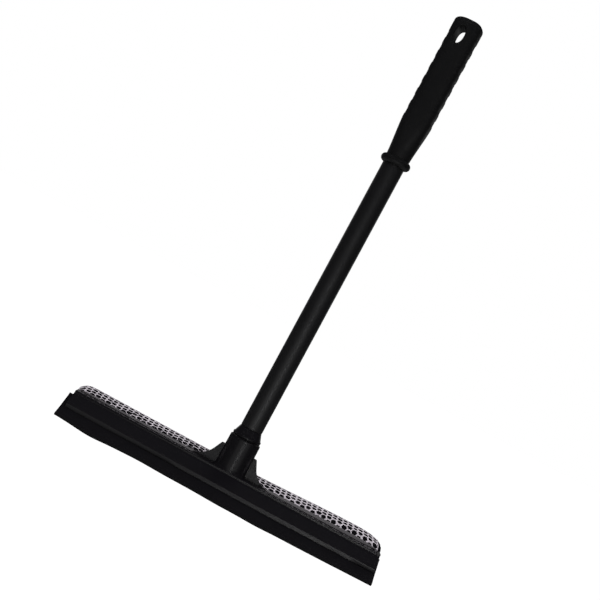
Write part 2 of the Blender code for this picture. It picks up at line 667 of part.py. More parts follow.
def sponge_net(pad, parent, parts, finish):
    """A flat sheet with a honeycomb of six-sided gaps, laid over the pad, folded in at its left end, then thickened."""
    front_middle = (PAD_FRONT_RISE - PAD_DROP) / 2
    start = -UPPER_GROOVE - front_middle
    stop = pad.girth - (front_middle + LOWER_GROOVE)
    left = -PAD_LENGTH / 2 - NET_END_TUCK
    right = PAD_LENGTH / 2 - NET_SHORT_OF_FOAM
    border, notch_end = net_border(pad, left, right, start, stop)
    coords = [Vector(p) for p in border]
    edges = [(i, (i + 1) % len(border)) for i in range(len(border))]
    owner = [-1] * len(border)

    side = NET_CELL_PITCH / 3
    radius = side - NET_STRAND / math.sqrt(3)
    row = math.sqrt(3) * side
    plain = -PAD_LENGTH / 2 + PAD_LEFT_ROUND
    full = PAD_LENGTH / 2 - PAD_RIGHT_ROUND
    upper = -front_middle + PAD_FRONT_RISE / 2 + NET_HEM
    lower = pad.girth - (front_middle + PAD_DROP) - NET_HEM
    cells = []
    for column in range(math.ceil((full - plain - side) / (1.5 * side))):
        x = plain + side + column * 1.5 * side
        for step in range(math.ceil((lower - upper - 0.75 * row) / row) + 1):
            s = upper + row / 2 + row / 2 * (column % 2) + step * row
            clear = math.hypot(x, pad.section(x, s, 0)[0]) - radius - NET_STRAND / 2
            if x < full - radius and s < lower - row / 2 + NET_STRAND / 8:
                if clear > HUB_BASE_DIAMETER / 2 or s > notch_end + row:
                    cells.append((x, s))

    around = pad.s[(pad.s > start + 0.001) & (pad.s < stop - 0.001)]
    ends = np.concatenate(
        [-PAD_LENGTH / 2 + END_STEPS * PAD_LEFT_ROUND, PAD_LENGTH / 2 - END_STEPS * PAD_RIGHT_ROUND]
    )
    lines = [[(x, s) for s in around] for x in ends if x < right - 0.001]
    notch = HUB_BASE_DIAMETER / 2 + 0.0020
    for s in around:
        if s < upper:
            lines += [[(-notch, s), (plain + 0.001, s)], [(notch, s), (full - 0.001, s)]]
        elif s > lower:
            lines.append([(plain + 0.001, s), (full - 0.001, s)])
        elif s < notch_end + row:
            beside = math.sqrt(max(0, notch**2 - pad.section(0, s, 0)[0] ** 2))
            lines += [[(x, s)] for side_x in (-1, 1) for x in side_x * np.linspace(beside, 0.030, 5)]
    for line in lines:
        joined = False
        for x, s in line:
            if any(math.hypot(x - cx, s - cs) < radius + 0.0008 for cx, cs in cells):
                joined = False
                continue
            if joined:
                edges.append((len(coords) - 1, len(coords)))
            joined = True
            coords.append(Vector((x, s)))
            owner.append(-1)
    for cell, (x, s) in enumerate(cells):
        corner = len(coords)
        for k in range(6):
            a = math.radians(60 * k)
            coords.append(Vector((x + radius * math.cos(a), s + radius * math.sin(a))))
            owner.append(cell)
            edges.append((corner + k, corner + (k + 1) % 6))

    points, _, faces, origins, _, _ = delaunay_2d_cdt(coords, edges, [], 1, 1e-7)
    names = [{owner[o] for o in origin} if origin else {-1} for origin in origins]
    kept = []
    for face in faces:
        shared = set.intersection(*(names[v] for v in face))
        if shared and shared != {-1}:
            continue
        kept.append(tuple(face))
    flat = np.array([(p.x, p.y) for p in points])
    solid = pad.place(flat[:, 0], flat[:, 1], 0)
    mesh = bpy.data.meshes.new("sponge_net")
    mesh.from_pydata(solid.tolist(), [], kept)
    smooth(mesh)
    made = add_object("sponge_net", mesh, parent, parts, finish)
    skin = made.modifiers.new("thickness", "SOLIDIFY")
    skin.thickness = NET_THICKNESS
    skin.offset = -1
    skin.use_quality_normals = True
    print("net gaps:", len(cells))


def net_splines(parent, parts, finish):
    """Two strips pressed into the grooves of the rear wall, which hold the net's hems."""
    length = HEAD_LENGTH - 2 * SPLINE_INSET
    for name, depth in (("upper_net_spline", UPPER_GROOVE), ("lower_net_spline", LOWER_GROOVE)):
        far = DECK_REAR - HEM_GROOVE_DEPTH + GAP
        half = SPLINE_SIZE / 2
        corners = [
            (far, -depth - half, 0.0006),
            (far + SPLINE_SIZE, -depth - half, 0.0006),
            (far + SPLINE_SIZE, -depth + half, 0.0006),
            (far, -depth + half, 0.0006),
        ]
        mesh = outline_mesh(name, rounded(corners, math.radians(45)), length, ALONG_X)
        add_object(name, mesh, parent, parts, finish)


def main():
    clear_scene()
    parts = new_collection("hand_squeegee")
    cutters = new_collection("cutters", hidden=True)
    black_plastic = material("moulded_plastic", (0.012, 0.012, 0.014), 0.42)
    tube_plastic = material("tube_plastic", (0.012, 0.012, 0.014), 0.36)
    rubber = material("rubber", (0.010, 0.010, 0.011), 0.75)
    foam = material("foam", (0.010, 0.010, 0.011), 0.95)
    net = material("net_yarn", (0.55, 0.52, 0.56), 0.60)

    handle = bpy.data.objects.new("handle", None)
    parts.objects.link(handle)
    head = bpy.data.objects.new("head", None)
    head.location.z = DECK_TOP
    parts.objects.link(head)

    grip(handle, parts, cutters, black_plastic)
    handle_tube(handle, parts, tube_plastic)
    screw_tip(handle, parts, black_plastic)
    washer(handle, parts, rubber)
    head_frame(head, parts, cutters, black_plastic)
    rubber_blade(head, parts, rubber)
    pad = Pad()
    sponge_foam(pad, head, parts, cutters, foam)
    sponge_net(pad, head, parts, net)
    net_splines(head, parts, black_plastic)


main()
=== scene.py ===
# %% [markdown]
# # A netted-sponge squeegee, dressed piece by piece
#
# The squeegee hangs from the hole in its grip. From the top down it is a moulded grip, a plastic tube, a
# screwed tip, and a long head with a rubber blade in front and a sponge in a net behind. The plain solids
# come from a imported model, and each lesson below makes the finished surface of one piece on top of its
# solid.

# %% Load the plain solids
import math

import bmesh
import bpy
import numpy as np
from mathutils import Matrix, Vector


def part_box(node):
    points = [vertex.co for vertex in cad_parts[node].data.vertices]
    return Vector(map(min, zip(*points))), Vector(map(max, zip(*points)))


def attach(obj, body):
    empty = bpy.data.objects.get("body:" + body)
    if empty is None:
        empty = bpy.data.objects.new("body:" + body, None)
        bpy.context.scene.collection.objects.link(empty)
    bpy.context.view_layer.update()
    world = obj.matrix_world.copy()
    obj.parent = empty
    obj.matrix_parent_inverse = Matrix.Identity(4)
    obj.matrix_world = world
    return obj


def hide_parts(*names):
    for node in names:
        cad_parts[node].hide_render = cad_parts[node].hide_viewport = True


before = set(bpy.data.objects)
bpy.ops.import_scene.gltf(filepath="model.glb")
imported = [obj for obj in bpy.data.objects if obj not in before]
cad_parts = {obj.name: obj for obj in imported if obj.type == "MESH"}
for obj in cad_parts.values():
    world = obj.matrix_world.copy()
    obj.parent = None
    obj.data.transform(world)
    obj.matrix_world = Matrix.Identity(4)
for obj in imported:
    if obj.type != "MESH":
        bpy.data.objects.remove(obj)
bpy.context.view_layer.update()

# %% [markdown]
# Sizes are written in millimetres, because that is how a mould drawing gives them, and turned into
# Blender's metres at the last step. The heights below come from the solids, so every surface sits where its
# solid does. Z is 0 at the top of the hang hole, and the head's own heights are counted from its deck.

# %% Heights along the handle
MM = 0.001


def node_low(name):
    """The low corner of a solid's box, in millimetres."""
    return np.array(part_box(name)[0]) / MM


def node_high(name):
    """The high corner of a solid's box, in millimetres."""
    return np.array(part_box(name)[1]) / MM


GAP, HUB_HEIGHT = 0.3, 36.2
tube_top, tube_bottom = node_high("handle_tube")[2], node_low("handle_tube")[2]
tip_top, tip_bottom = node_high("screw_tip")[2], node_low("screw_tip")[2]
washer_high, washer_low = node_high("collar_washer")[2], node_low("collar_washer")[2]
collar_bottom = washer_high + GAP
deck = node_high("head_frame")[2] - HUB_HEIGHT
head_end = node_high("head_frame")[0]
print("deck at %.1f mm, head %.1f mm long" % (deck, 2 * head_end))

# %% [markdown]
# A colour is given as a web code, which is stored on a curve that suits screens. The shader wants light in
# equal steps, so one function undoes that curve. A second small function puts a node into a material, because
# a material below is a list of nodes and of what feeds each of them. The two colours that a Mix node blends,
# and what it makes of them, have to be found by their numbers, since its other inputs have the same names.


# %% Helpers for materials
COLOUR_A, COLOUR_B, MIXED = 6, 7, 2


def linear(code):
    """A '#rrggbb' code as linear colour: c / 12.92 up to 0.04045, and above that ((c + 0.055) / 1.055) to the
    power 2.4."""
    channels = [int(code[k : k + 2], 16) / 255 for k in (1, 3, 5)]
    return (*[c / 12.92 if c <= 0.04045 else ((c + 0.055) / 1.055) ** 2.4 for c in channels], 1.0)


def add_node(tree, kind, inputs=None, **settings):
    """One node with its settings. Each input takes a value, or is fed by another node's output."""
    node = tree.nodes.new(kind)
    for key, value in settings.items():
        setattr(node, key, value)
    for key, value in (inputs or {}).items():
        if isinstance(value, bpy.types.NodeSocket):
            tree.links.new(value, node.inputs[key])
        else:
            node.inputs[key].default_value = value
    return node


def blank_material(name):
    """A new material, the empty node tree that makes it, and the place of each point on its piece."""
    made = bpy.data.materials.new(name)
    made.use_nodes = True
    made.node_tree.nodes.clear()
    place = add_node(made.node_tree, "ShaderNodeTexCoord").outputs["Object"]
    return made, made.node_tree, place


def give_surface(made, tint, roughness, bump, inputs):
    """Ends a material with one surface shader: colour, roughness, bump, and other inputs by name."""
    seen = {"Base Color": tint.outputs[MIXED], "Roughness": roughness, "Normal": bump.outputs["Normal"]}
    surface = add_node(made.node_tree, "ShaderNodeBsdfPrincipled", {**seen, **inputs})
    add_node(made.node_tree, "ShaderNodeOutputMaterial", {"Surface": surface.outputs["BSDF"]})
    return made


# %% [markdown]
# Most surfaces here are grids of points: one direction runs along the piece and the other round it. A skin
# joins neighbouring points into four-sided faces, and its last row or column can be joined to its first one
# to close a tube. Points that fall on the same spot are then merged, which closes poles and seams.


# %% Helpers for surfaces
def add_object(name, data):
    """A new object in the scene, made of this data."""
    thing = bpy.data.objects.new(name, data)
    bpy.context.scene.collection.objects.link(thing)
    return thing


def skin(grid, loop_columns=False):
    """Four-sided faces over a grid of points (rows, columns, 3): face (i, j) joins points (i, j) to
    (i + 1, j + 1)."""
    rows, columns = grid.shape[:2]
    bands = columns if loop_columns else columns - 1
    i, j = np.meshgrid(np.arange(rows - 1), np.arange(bands), indexing="ij")
    here, beside, below = i * columns + j, i * columns + (j + 1) % columns, columns
    faces = np.stack([here, beside, beside + below, here + below], axis=-1)
    return grid.reshape(-1, 3), faces.reshape(-1, 4).tolist()


def capped(rings):
    """The skin over closed rings (rings, points in a ring, 3), and one many-sided face over each end."""
    points, faces = skin(rings, loop_columns=True)
    count = rings.shape[1]
    return points, faces + [list(range(count)), list(range(len(points) - count, len(points)))]


def prism(outline, half_length, axis):
    """A flat outline (n, 2) carried along an axis from -half to +half."""
    return capped(np.stack([np.insert(outline, axis, x, axis=1) for x in (-half_length, half_length)]))


def turned(profile, steps=128):
    """A profile (n, 2) of radius and height turned about Z: x = r cos t, y = r sin t, z = h."""
    t = np.linspace(0, 2 * np.pi, steps, endpoint=False)
    r, z = profile[:, :1], profile[:, 1:]
    return skin(np.stack([r * np.cos(t), r * np.sin(t), z + 0 * t], axis=-1), loop_columns=True)


SHARP = 35


def face_outwards(mesh):
    """Merges points within 0.002 mm of each other and turns every face of a closed mesh outwards."""
    shape = bmesh.new()
    shape.from_mesh(mesh)
    bmesh.ops.remove_doubles(shape, verts=shape.verts, dist=0.002 * MM)
    bmesh.ops.recalc_face_normals(shape, faces=shape.faces)
    shape.to_mesh(mesh)
    shape.free()


def new_piece(name, skins, material, body, instead_of=(), sharp=SHARP, attribute=None):
    """Several skins as one mesh in metres, merged and facing outwards, that rides on a body."""
    start, points, faces = 0, [], []
    for some_points, some_faces in skins:
        points.append(some_points)
        faces += [[k + start for k in face] for face in some_faces]
        start += len(some_points)
    mesh = bpy.data.meshes.new(name)
    mesh.from_pydata((np.concatenate(points) * MM).tolist(), [], faces)
    if attribute is not None:
        layer = mesh.attributes.new("laid_flat", "FLOAT_VECTOR", "POINT")
        layer.data.foreach_set("vector", (attribute * MM).astype(np.float32).ravel())
    face_outwards(mesh)
    mesh.materials.append(material)
    mesh.shade_smooth()
    mesh.set_sharp_from_angle(angle=math.radians(sharp))
    piece = add_object(name, mesh)
    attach(piece, body)
    if instead_of:
        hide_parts(*instead_of)
    print("%s: %d faces" % (name, len(mesh.polygons)))
    return piece


def soften_edges(piece, width, segments=2):
    """A Bevel of so many millimetres on the sharp edges, as a mould's worn corner gives."""
    bevel = piece.modifiers.new("soft_edges", "BEVEL")
    bevel.width = width * MM
    bevel.segments = segments
    bevel.limit_method = "ANGLE"
    bevel.angle_limit = math.radians(40)
    bevel.harden_normals = False


def rounded(corners, parts=12):
    """A closed outline with a fillet at each (x, y, radius) corner: an arc that touches both sides, in equal
    parts, so that two outlines with the same corners have the same number of points."""
    place = np.array([c[:2] for c in corners], float)
    all_before, all_after = np.roll(place, 1, axis=0), np.roll(place, -1, axis=0)
    points = []
    for here, (_, _, radius), before, after in zip(place, corners, all_before, all_after):
        if radius == 0:
            points.append(here[None])
            continue
        back, on = (before - here) / np.hypot(*(before - here)), (after - here) / np.hypot(*(after - here))
        half = math.acos(np.clip(back @ on, -1, 1)) / 2
        centre = here + (back + on) / np.hypot(*(back + on)) * radius / math.sin(half)
        x, y = here + back * radius / math.tan(half) - centre
        a = np.linspace(0, math.copysign(math.pi - 2 * half, y * back[0] - x * back[1]), parts + 1)
        arc = np.stack([np.cos(a) * x - np.sin(a) * y, np.sin(a) * x + np.cos(a) * y], axis=-1)
        points.append(centre + arc)
    return np.concatenate(points)


# %% [markdown]
# ## The studio
#
# The tool hangs in front of a white sweep. The camera stands about one and a half metres away with a long
# lens, and is rolled by 28 degrees, so that the handle leans to the right. The floor lies well below the
# tool, as for an object on a hook, and both it and the background look white to the camera.
#
# Black plastic is shown by what it mirrors, so the room is dark except for the sweep behind the tool, which
# gives the round parts their pale rims. Three large lamps light the colours and aren't mirrored, as a
# polarising filter would have it. A broad dim panel and a narrow one stand a little below the camera and to
# its right, and are mirrored: the broad one lifts the faces that look at the camera, and the narrow one
# draws the line of light on the hub.

# %% Camera
FOCAL_PIXELS, PICTURE_PIXELS, CAMERA_ROLL = 1420.0, 600, 28.38
lens = bpy.data.cameras.new("camera")
lens.sensor_width = 36.0
lens.lens = FOCAL_PIXELS / PICTURE_PIXELS * lens.sensor_width
lens.clip_start = 0.05
camera = add_object("camera", lens)
camera.location = (-0.0190, -1.448116, -0.3228)
camera.rotation_euler = (math.radians(90), math.radians(-CAMERA_ROLL), 0)
bpy.context.scene.camera = camera
print("field of view %.1f degrees" % math.degrees(lens.angle))


# %% Lamps
LOOK_AT = np.array([0, 0, -0.45])


def soft_lamp(name, azimuth, elevation, distance, width, height, power):
    """A flat lamp that looks at the head. Azimuth 0 is straight in front (-Y), and more is to the right."""
    a, e = math.radians(azimuth), math.radians(elevation)
    outward = np.array([math.sin(a) * math.cos(e), -math.cos(a) * math.cos(e), math.sin(e)])
    light = bpy.data.lights.new(name, "AREA")
    light.shape = "RECTANGLE"
    light.size, light.size_y = width, height
    light.energy = power
    lamp = add_object(name, light)
    lamp.location = LOOK_AT + distance * outward
    lamp.rotation_euler = (math.acos(outward[2]), 0, math.atan2(outward[0], -outward[1]))
    return lamp


for name, azimuth, elevation, power in (
    ("high_left_lamp", -42, 48, 42),
    ("high_right_lamp", 50, 40, 24),
    ("rear_lamp", 160, 50, 26),
):
    soft_lamp(name, azimuth, elevation, 2.3, 1.4, 1.4, power).visible_glossy = False
soft_lamp("low_panel", 8, -6.5, 1.7, 2.45, 0.55, 1.6)
soft_lamp("narrow_panel", 10, -8, 1.7, 0.07, 0.40, 0.75)

# %% Background
world = bpy.data.worlds.new("white_sweep")
world.use_nodes = True
sky = world.node_tree
sky.nodes.clear()
seen = add_node(sky, "ShaderNodeLightPath").outputs["Is Camera Ray"]
direction = add_node(sky, "ShaderNodeTexCoord").outputs["Generated"]
way = add_node(sky, "ShaderNodeSeparateXYZ", {"Vector": direction})
ahead = {"Value": way.outputs["Y"], "From Min": 0.5, "From Max": 0.9, "To Min": 0.03, "To Max": 0.45}
sweep = add_node(sky, "ShaderNodeMapRange", ahead, interpolation_type="SMOOTHSTEP").outputs["Result"]
above = {"Value": way.outputs["Z"], "From Min": 0.08, "From Max": 0.24, "To Min": sweep, "To Max": 0.03}
ceiling = add_node(sky, "ShaderNodeMapRange", above)
room = add_node(sky, "ShaderNodeBackground", {"Strength": ceiling.outputs["Result"], "Color": (1, 1, 1, 1)})
white = add_node(sky, "ShaderNodeBackground", {"Strength": 1.0, "Color": (1, 1, 1, 1)})
choice = add_node(sky, "ShaderNodeMixShader", {0: seen, 1: room.outputs[0], 2: white.outputs[0]})
add_node(sky, "ShaderNodeOutputWorld", {"Surface": choice.outputs[0]})
bpy.context.scene.world = world
bpy.context.scene.view_settings.view_transform = "Standard"

# %% Floor
FLOOR_HEIGHT, FLOOR_HALF = deck * MM - 0.45, 30.0
floor_mesh = bpy.data.meshes.new("floor")
corners = [(x * FLOOR_HALF, y * FLOOR_HALF, FLOOR_HEIGHT) for x, y in ((-1, -1), (1, -1), (1, 1), (-1, 1))]
floor_mesh.from_pydata(corners, [], [(0, 1, 2, 3)])
add_object("floor", floor_mesh)
floor_paint, paint, place = blank_material("matt_white_floor")
away = add_node(paint, "ShaderNodeVectorMath", {0: place}, operation="LENGTH")
paler = {"Value": away.outputs["Value"], "From Min": 0.4, "From Max": 1.0, "To Min": 0.84, "To Max": 1.0}
sweep = add_node(paint, "ShaderNodeMapRange", paler)
seen = add_node(paint, "ShaderNodeLightPath").outputs["Is Camera Ray"]
lit = add_node(paint, "ShaderNodeMath", {0: seen, 1: sweep.outputs["Result"]}, operation="MULTIPLY")
glow = add_node(paint, "ShaderNodeEmission", {"Strength": lit.outputs[0], "Color": (1, 1, 1, 1)})
matt = add_node(paint, "ShaderNodeBsdfDiffuse", {"Color": linear("#8a8a8a")})
both = add_node(paint, "ShaderNodeAddShader", {0: matt.outputs[0], 1: glow.outputs[0]})
add_node(paint, "ShaderNodeOutputMaterial", {"Surface": both.outputs[0]})
floor_mesh.materials.append(floor_paint)
print("floor at %.2f m" % FLOOR_HEIGHT)

# %% [markdown]
# ## Black moulded polypropylene
#
# The grip, the tip and the head are polypropylene, moulded black. The grip's mould was left satin, so its
# plastic is smooth to the finger but scatters light: broad dull highlights. The mould of the head and the
# tip was polished further, which gives their tight curves a thin bright core. A faint cloudiness comes from
# the flow of the plastic. The satin grain is about 0.1 mm, too fine for the render, so it is drawn at 0.4
# mm and shallow.


# %% The moulded plastics
def moulded_plastic(name, code, dull):
    """The colour clouds over to four fifths of itself in patches of 17 mm, the roughness varies by 0.015 in
    patches of 4.5 mm, and a shallow bump makes the satin."""
    made, tree, place = blank_material(name)
    light = linear(code)
    dark = (*[0.80 * c for c in light[:3]], 1.0)
    clouds = {"Vector": place, "Scale": 60.0, "Detail": 3.0, "Roughness": 0.55}
    cloud = add_node(tree, "ShaderNodeTexNoise", clouds).outputs["Fac"]
    blend = {"Factor": cloud, COLOUR_A: dark, COLOUR_B: light}
    tint = add_node(tree, "ShaderNodeMix", blend, data_type="RGBA")
    scuffs = {"Vector": place, "Scale": 220.0, "Detail": 4.0, "Roughness": 0.65}
    scuff = add_node(tree, "ShaderNodeTexNoise", scuffs).outputs["Fac"]
    spread = {"From Min": 0.3, "From Max": 0.7, "To Min": dull - 0.015, "To Max": dull + 0.015}
    spread["Value"] = scuff
    rough = add_node(tree, "ShaderNodeMapRange", spread).outputs["Result"]
    grain = {"Vector": place, "Scale": 2500.0, "Detail": 2.0}
    satin = add_node(tree, "ShaderNodeTexNoise", grain).outputs["Fac"]
    bump = add_node(tree, "ShaderNodeBump", {"Height": satin, "Strength": 0.03, "Distance": 0.0002})
    return give_surface(made, tint, rough, bump, {"IOR": 1.49, "Specular IOR Level": 0.40})


satin_plastic = moulded_plastic("moulded_polypropylene", "#101011", 0.46)
head_plastic = moulded_plastic("moulded_polypropylene_head", "#111013", 0.29)
print("plastics:", satin_plastic.name, head_plastic.name)

# %% [markdown]
# ## The tube's extruded plastic
#
# The tube is extruded polypropylene, and the die drags faint lines along it. They lie about half a
# millimetre apart round the tube and run for its whole length, so the pattern is a noise stretched along Z.
# They spread a highlight sideways, so the tube looks softer than the moulded parts.


# %% The tube's material
def extruded_plastic(name):
    """Lines 0.55 mm apart and a hundred times as long, in bump and roughness, over clouds of 22 mm."""
    made, tree, place = blank_material(name)
    stretched = add_node(tree, "ShaderNodeMapping", {"Vector": place, "Scale": (1.0, 1.0, 0.01)})
    drawn = {"Vector": stretched.outputs["Vector"], "Scale": 1800.0, "Detail": 3.0}
    lines = add_node(tree, "ShaderNodeTexNoise", drawn).outputs["Fac"]
    bump = add_node(tree, "ShaderNodeBump", {"Height": lines, "Strength": 0.10, "Distance": 0.0002})
    spread = {"Value": lines, "From Min": 0.3, "From Max": 0.7, "To Min": 0.35, "To Max": 0.43}
    rough = add_node(tree, "ShaderNodeMapRange", spread).outputs["Result"]
    clouds = {"Vector": place, "Scale": 45.0, "Detail": 2.0}
    cloud = add_node(tree, "ShaderNodeTexNoise", clouds).outputs["Fac"]
    blend = {"Factor": cloud, COLOUR_A: linear("#0f0f10"), COLOUR_B: linear("#121214")}
    tint = add_node(tree, "ShaderNodeMix", blend, data_type="RGBA")
    return give_surface(made, tint, rough, bump, {"IOR": 1.49, "Specular IOR Level": 0.80})


tube_plastic = extruded_plastic("extruded_polypropylene")
print("tube:", tube_plastic.name)

# %% [markdown]
# ## Rubber
#
# The blade is natural rubber with carbon black, cut from a calendered sheet. It is the dullest black on the
# tool: almost no highlight, a faint grey bloom, and fine grain from the cut.


# %% The rubber's material
def black_rubber(name, code):
    """Bloom in patches of 11 mm between two near blacks, and the grain of the cut at 0.45 mm."""
    made, tree, place = blank_material(name)
    blooms = {"Vector": place, "Scale": 90.0, "Detail": 5.0, "Roughness": 0.6}
    bloom = add_node(tree, "ShaderNodeTexNoise", blooms).outputs["Fac"]
    blend = {"Factor": bloom, COLOUR_A: linear("#0c0b0d"), COLOUR_B: linear(code)}
    tint = add_node(tree, "ShaderNodeMix", blend, data_type="RGBA")
    grains = {"Vector": place, "Scale": 2200.0, "Detail": 3.0}
    grain = add_node(tree, "ShaderNodeTexNoise", grains).outputs["Fac"]
    bump = add_node(tree, "ShaderNodeBump", {"Height": grain, "Strength": 0.12, "Distance": 0.0002})
    return give_surface(made, tint, 0.72, bump, {"IOR": 1.52, "Specular IOR Level": 0.30})


blade_rubber = black_rubber("carbon_black_rubber", "#100f12")
washer_rubber = black_rubber("washer_rubber", "#0e0e0f")
print("rubbers:", blade_rubber.name, washer_rubber.name)

# %% [markdown]
# ## Foam and yarn
#
# The sponge is open-cell polyurethane foam, dyed black, with cells of about 0.9 mm. Light falls into the
# cells, and that shade is painted into the foam's colour: it is darker than any smooth black, and darkest in
# the middle of each cell. The net over it is knitted from pale polyester yarn. Each strand is a flat braid of
# fine loops about 0.8 mm apart, which the yarn's bump shows, and its fibres give a soft sheen. The yarn is
# painted deeper where it lies low on the foam, as painted shade. Where the net is folded into a hem, black
# foam shows between the layers and the shadow there is painted in, so the hem is a darker grey.


# %% The foam's material
def open_cell_foam(name):
    """Cells of 0.9 mm, deep in the bump, with painted shade that makes each cell darkest in its middle."""
    made, tree, place = blank_material(name)
    cells = add_node(tree, "ShaderNodeTexVoronoi", {"Vector": place, "Scale": 1100.0, "Randomness": 0.95})
    cells = cells.outputs["Distance"]
    # Painted shade: near black in the middle of each cell, a little lighter towards its walls.
    wall = add_node(tree, "ShaderNodeMapRange", {"Value": cells, "From Min": 0.1, "From Max": 0.6})
    blend = {"Factor": wall.outputs["Result"], COLOUR_A: linear("#030304"), COLOUR_B: linear("#131215")}
    tint = add_node(tree, "ShaderNodeMix", blend, data_type="RGBA")
    bump = add_node(tree, "ShaderNodeBump", {"Height": cells, "Strength": 0.9, "Distance": 0.0008})
    return give_surface(made, tint, 0.95, bump, {"Specular IOR Level": 0.0})


sponge_black = open_cell_foam("open_cell_foam")
print("foam:", sponge_black.name)


# %% The yarn's materials
LOOP, YARN_RISE = 0.8, 0.5


def knitted_yarn(name, pale, deep):
    """Loops are two crossed waves over the net as it was knitted flat, and a noise of 0.4 mm frays them. The
    loops and soil in patches of 8 mm make the yarn paler or deeper, and painted shade deepens it where its
    height above the foam is small."""
    made, tree, place = blank_material(name)
    flat = add_node(tree, "ShaderNodeAttribute", attribute_name="laid_flat").outputs["Vector"]
    slant = add_node(tree, "ShaderNodeMapping", {"Vector": flat, "Rotation": (0, 0, math.radians(45))})
    wave = {"Vector": slant.outputs["Vector"], "Scale": 1000.0 / (LOOP * 6.2832) * 2, "Distortion": 2.5}
    one = add_node(tree, "ShaderNodeTexWave", wave, bands_direction="X").outputs["Fac"]
    two = add_node(tree, "ShaderNodeTexWave", wave, bands_direction="Y").outputs["Fac"]
    loops = add_node(tree, "ShaderNodeMath", {0: one, 1: two}, operation="MULTIPLY").outputs[0]
    uneven = []
    for scale, strength in ((2500.0, 0.35), (120.0, 0.5)):
        noise = add_node(tree, "ShaderNodeTexNoise", {"Vector": place, "Scale": scale, "Detail": 3.0})
        terms = {0: noise.outputs["Fac"], 1: strength, 2: loops}
        uneven.append(add_node(tree, "ShaderNodeMath", terms, operation="MULTIPLY_ADD").outputs[0])
    frayed, soiled = uneven
    # Painted shade: the yarn fades to its deep colour as its height above the foam goes to nothing.
    above = add_node(tree, "ShaderNodeSeparateXYZ", {"Vector": flat}).outputs["Z"]
    rise = {"Value": above, "From Min": 0.0, "From Max": YARN_RISE * MM}
    shade_by_lift = add_node(tree, "ShaderNodeMapRange", rise).outputs["Result"]
    mixed = add_node(tree, "ShaderNodeMath", {0: soiled, 1: shade_by_lift}, operation="MULTIPLY").outputs[0]
    blend = {"Factor": mixed, COLOUR_A: linear(deep), COLOUR_B: linear(pale)}
    tint = add_node(tree, "ShaderNodeMix", blend, data_type="RGBA")
    bump = add_node(tree, "ShaderNodeBump", {"Height": frayed, "Strength": 0.6, "Distance": 0.0003})
    sheen = {"Specular IOR Level": 0.25, "Sheen Weight": 0.25, "Sheen Roughness": 0.5}
    return give_surface(made, tint, 0.80, bump, sheen)


net_yarn = knitted_yarn("polyester_net_yarn", "#cac3ca", "#a49ea5")
# The hem's darker colours stand for the black foam between its layers and for painted shade in its folds.
hem_yarn = knitted_yarn("folded_net_hem", "#3b373b", "#232024")
print("yarns:", net_yarn.name, hem_yarn.name)

# %% [markdown]
# ## The grip
#
# The grip is a moulded oval with nearly flat front and back faces and seven shallow finger grooves in each
# edge. It narrows to a round neck and ends in a bulging ring. It could be modelled from a box with loops,
# but its section is a known curve, so it is computed: at every height a superellipse, which is an ellipse
# with squarer corners, has a width, a thickness and a power, and those three numbers change with the
# height. The grip is turned 12 degrees, as it stands in the photograph.

# %% The grip's section by height
GRIP_WIDTH, GRIP_THICKNESS, GRIP_POWER, GRIP_TURN = 31.4, 29.0, 3.2, math.radians(-12)
CROWN_RISE, CROWN_HEIGHT, CROWN_POWER = 11.0, 7.6, 2.2
GROOVE_DEPTH, GROOVE_PITCH, GROOVES, FIRST_GROOVE, SETTLING = 0.5, 14.55, 7, 13.4, 6.0
TAPER_START, TAPER_LENGTH, NECK = 114.8, 33.7, 25.2
RING, RING_ROUND = 32.7, 4.4
SOCKET = 23.5 / 2 + GAP


def smooth(t):
    """An even step from 0 to 1: 3 t^2 - 2 t^3."""
    return t * t * (3 - 2 * t)


def superellipse(half_x, half_y, power, steps):
    """Points round |x / half_x|^power + |y / half_y|^power = 1, at even angles of its parameter."""
    t = np.linspace(0, 2 * np.pi, steps, endpoint=False)
    c, s = np.cos(t), np.sin(t)
    return half_x * np.sign(c) * np.abs(c) ** (2 / power), half_y * np.sign(s) * np.abs(s) ** (2 / power)


def grip_section(z):
    """Half width, half thickness and power at height z, below the crown. A groove is a smoothed cosine in the
    width, and below the last one the grip stays as narrow as in a groove."""
    half_w, half_t, neck = GRIP_WIDTH / 2, GRIP_THICKNESS / 2, NECK / 2
    turn = (-z - FIRST_GROOVE) / GROOVE_PITCH
    grooved = (turn > -0.5) & (turn < GROOVES - 0.5)
    dip = smooth(np.clip(0.5 + 0.9 * np.cos(2 * np.pi * turn), 0, 1)) * GROOVE_DEPTH * grooved
    part = np.clip((-z - TAPER_START) / TAPER_LENGTH, 0, 1)
    settled = np.clip((-z - (FIRST_GROOVE + (GROOVES - 0.5) * GROOVE_PITCH)) / SETTLING, 0, 1)
    width = half_w - dip - GROOVE_DEPTH * settled
    return (
        width + (neck - width) * part,
        half_t + (neck - half_t) * part,
        GRIP_POWER + (2 - GRIP_POWER) * np.clip(part * 1.4, 0, 1),
    )


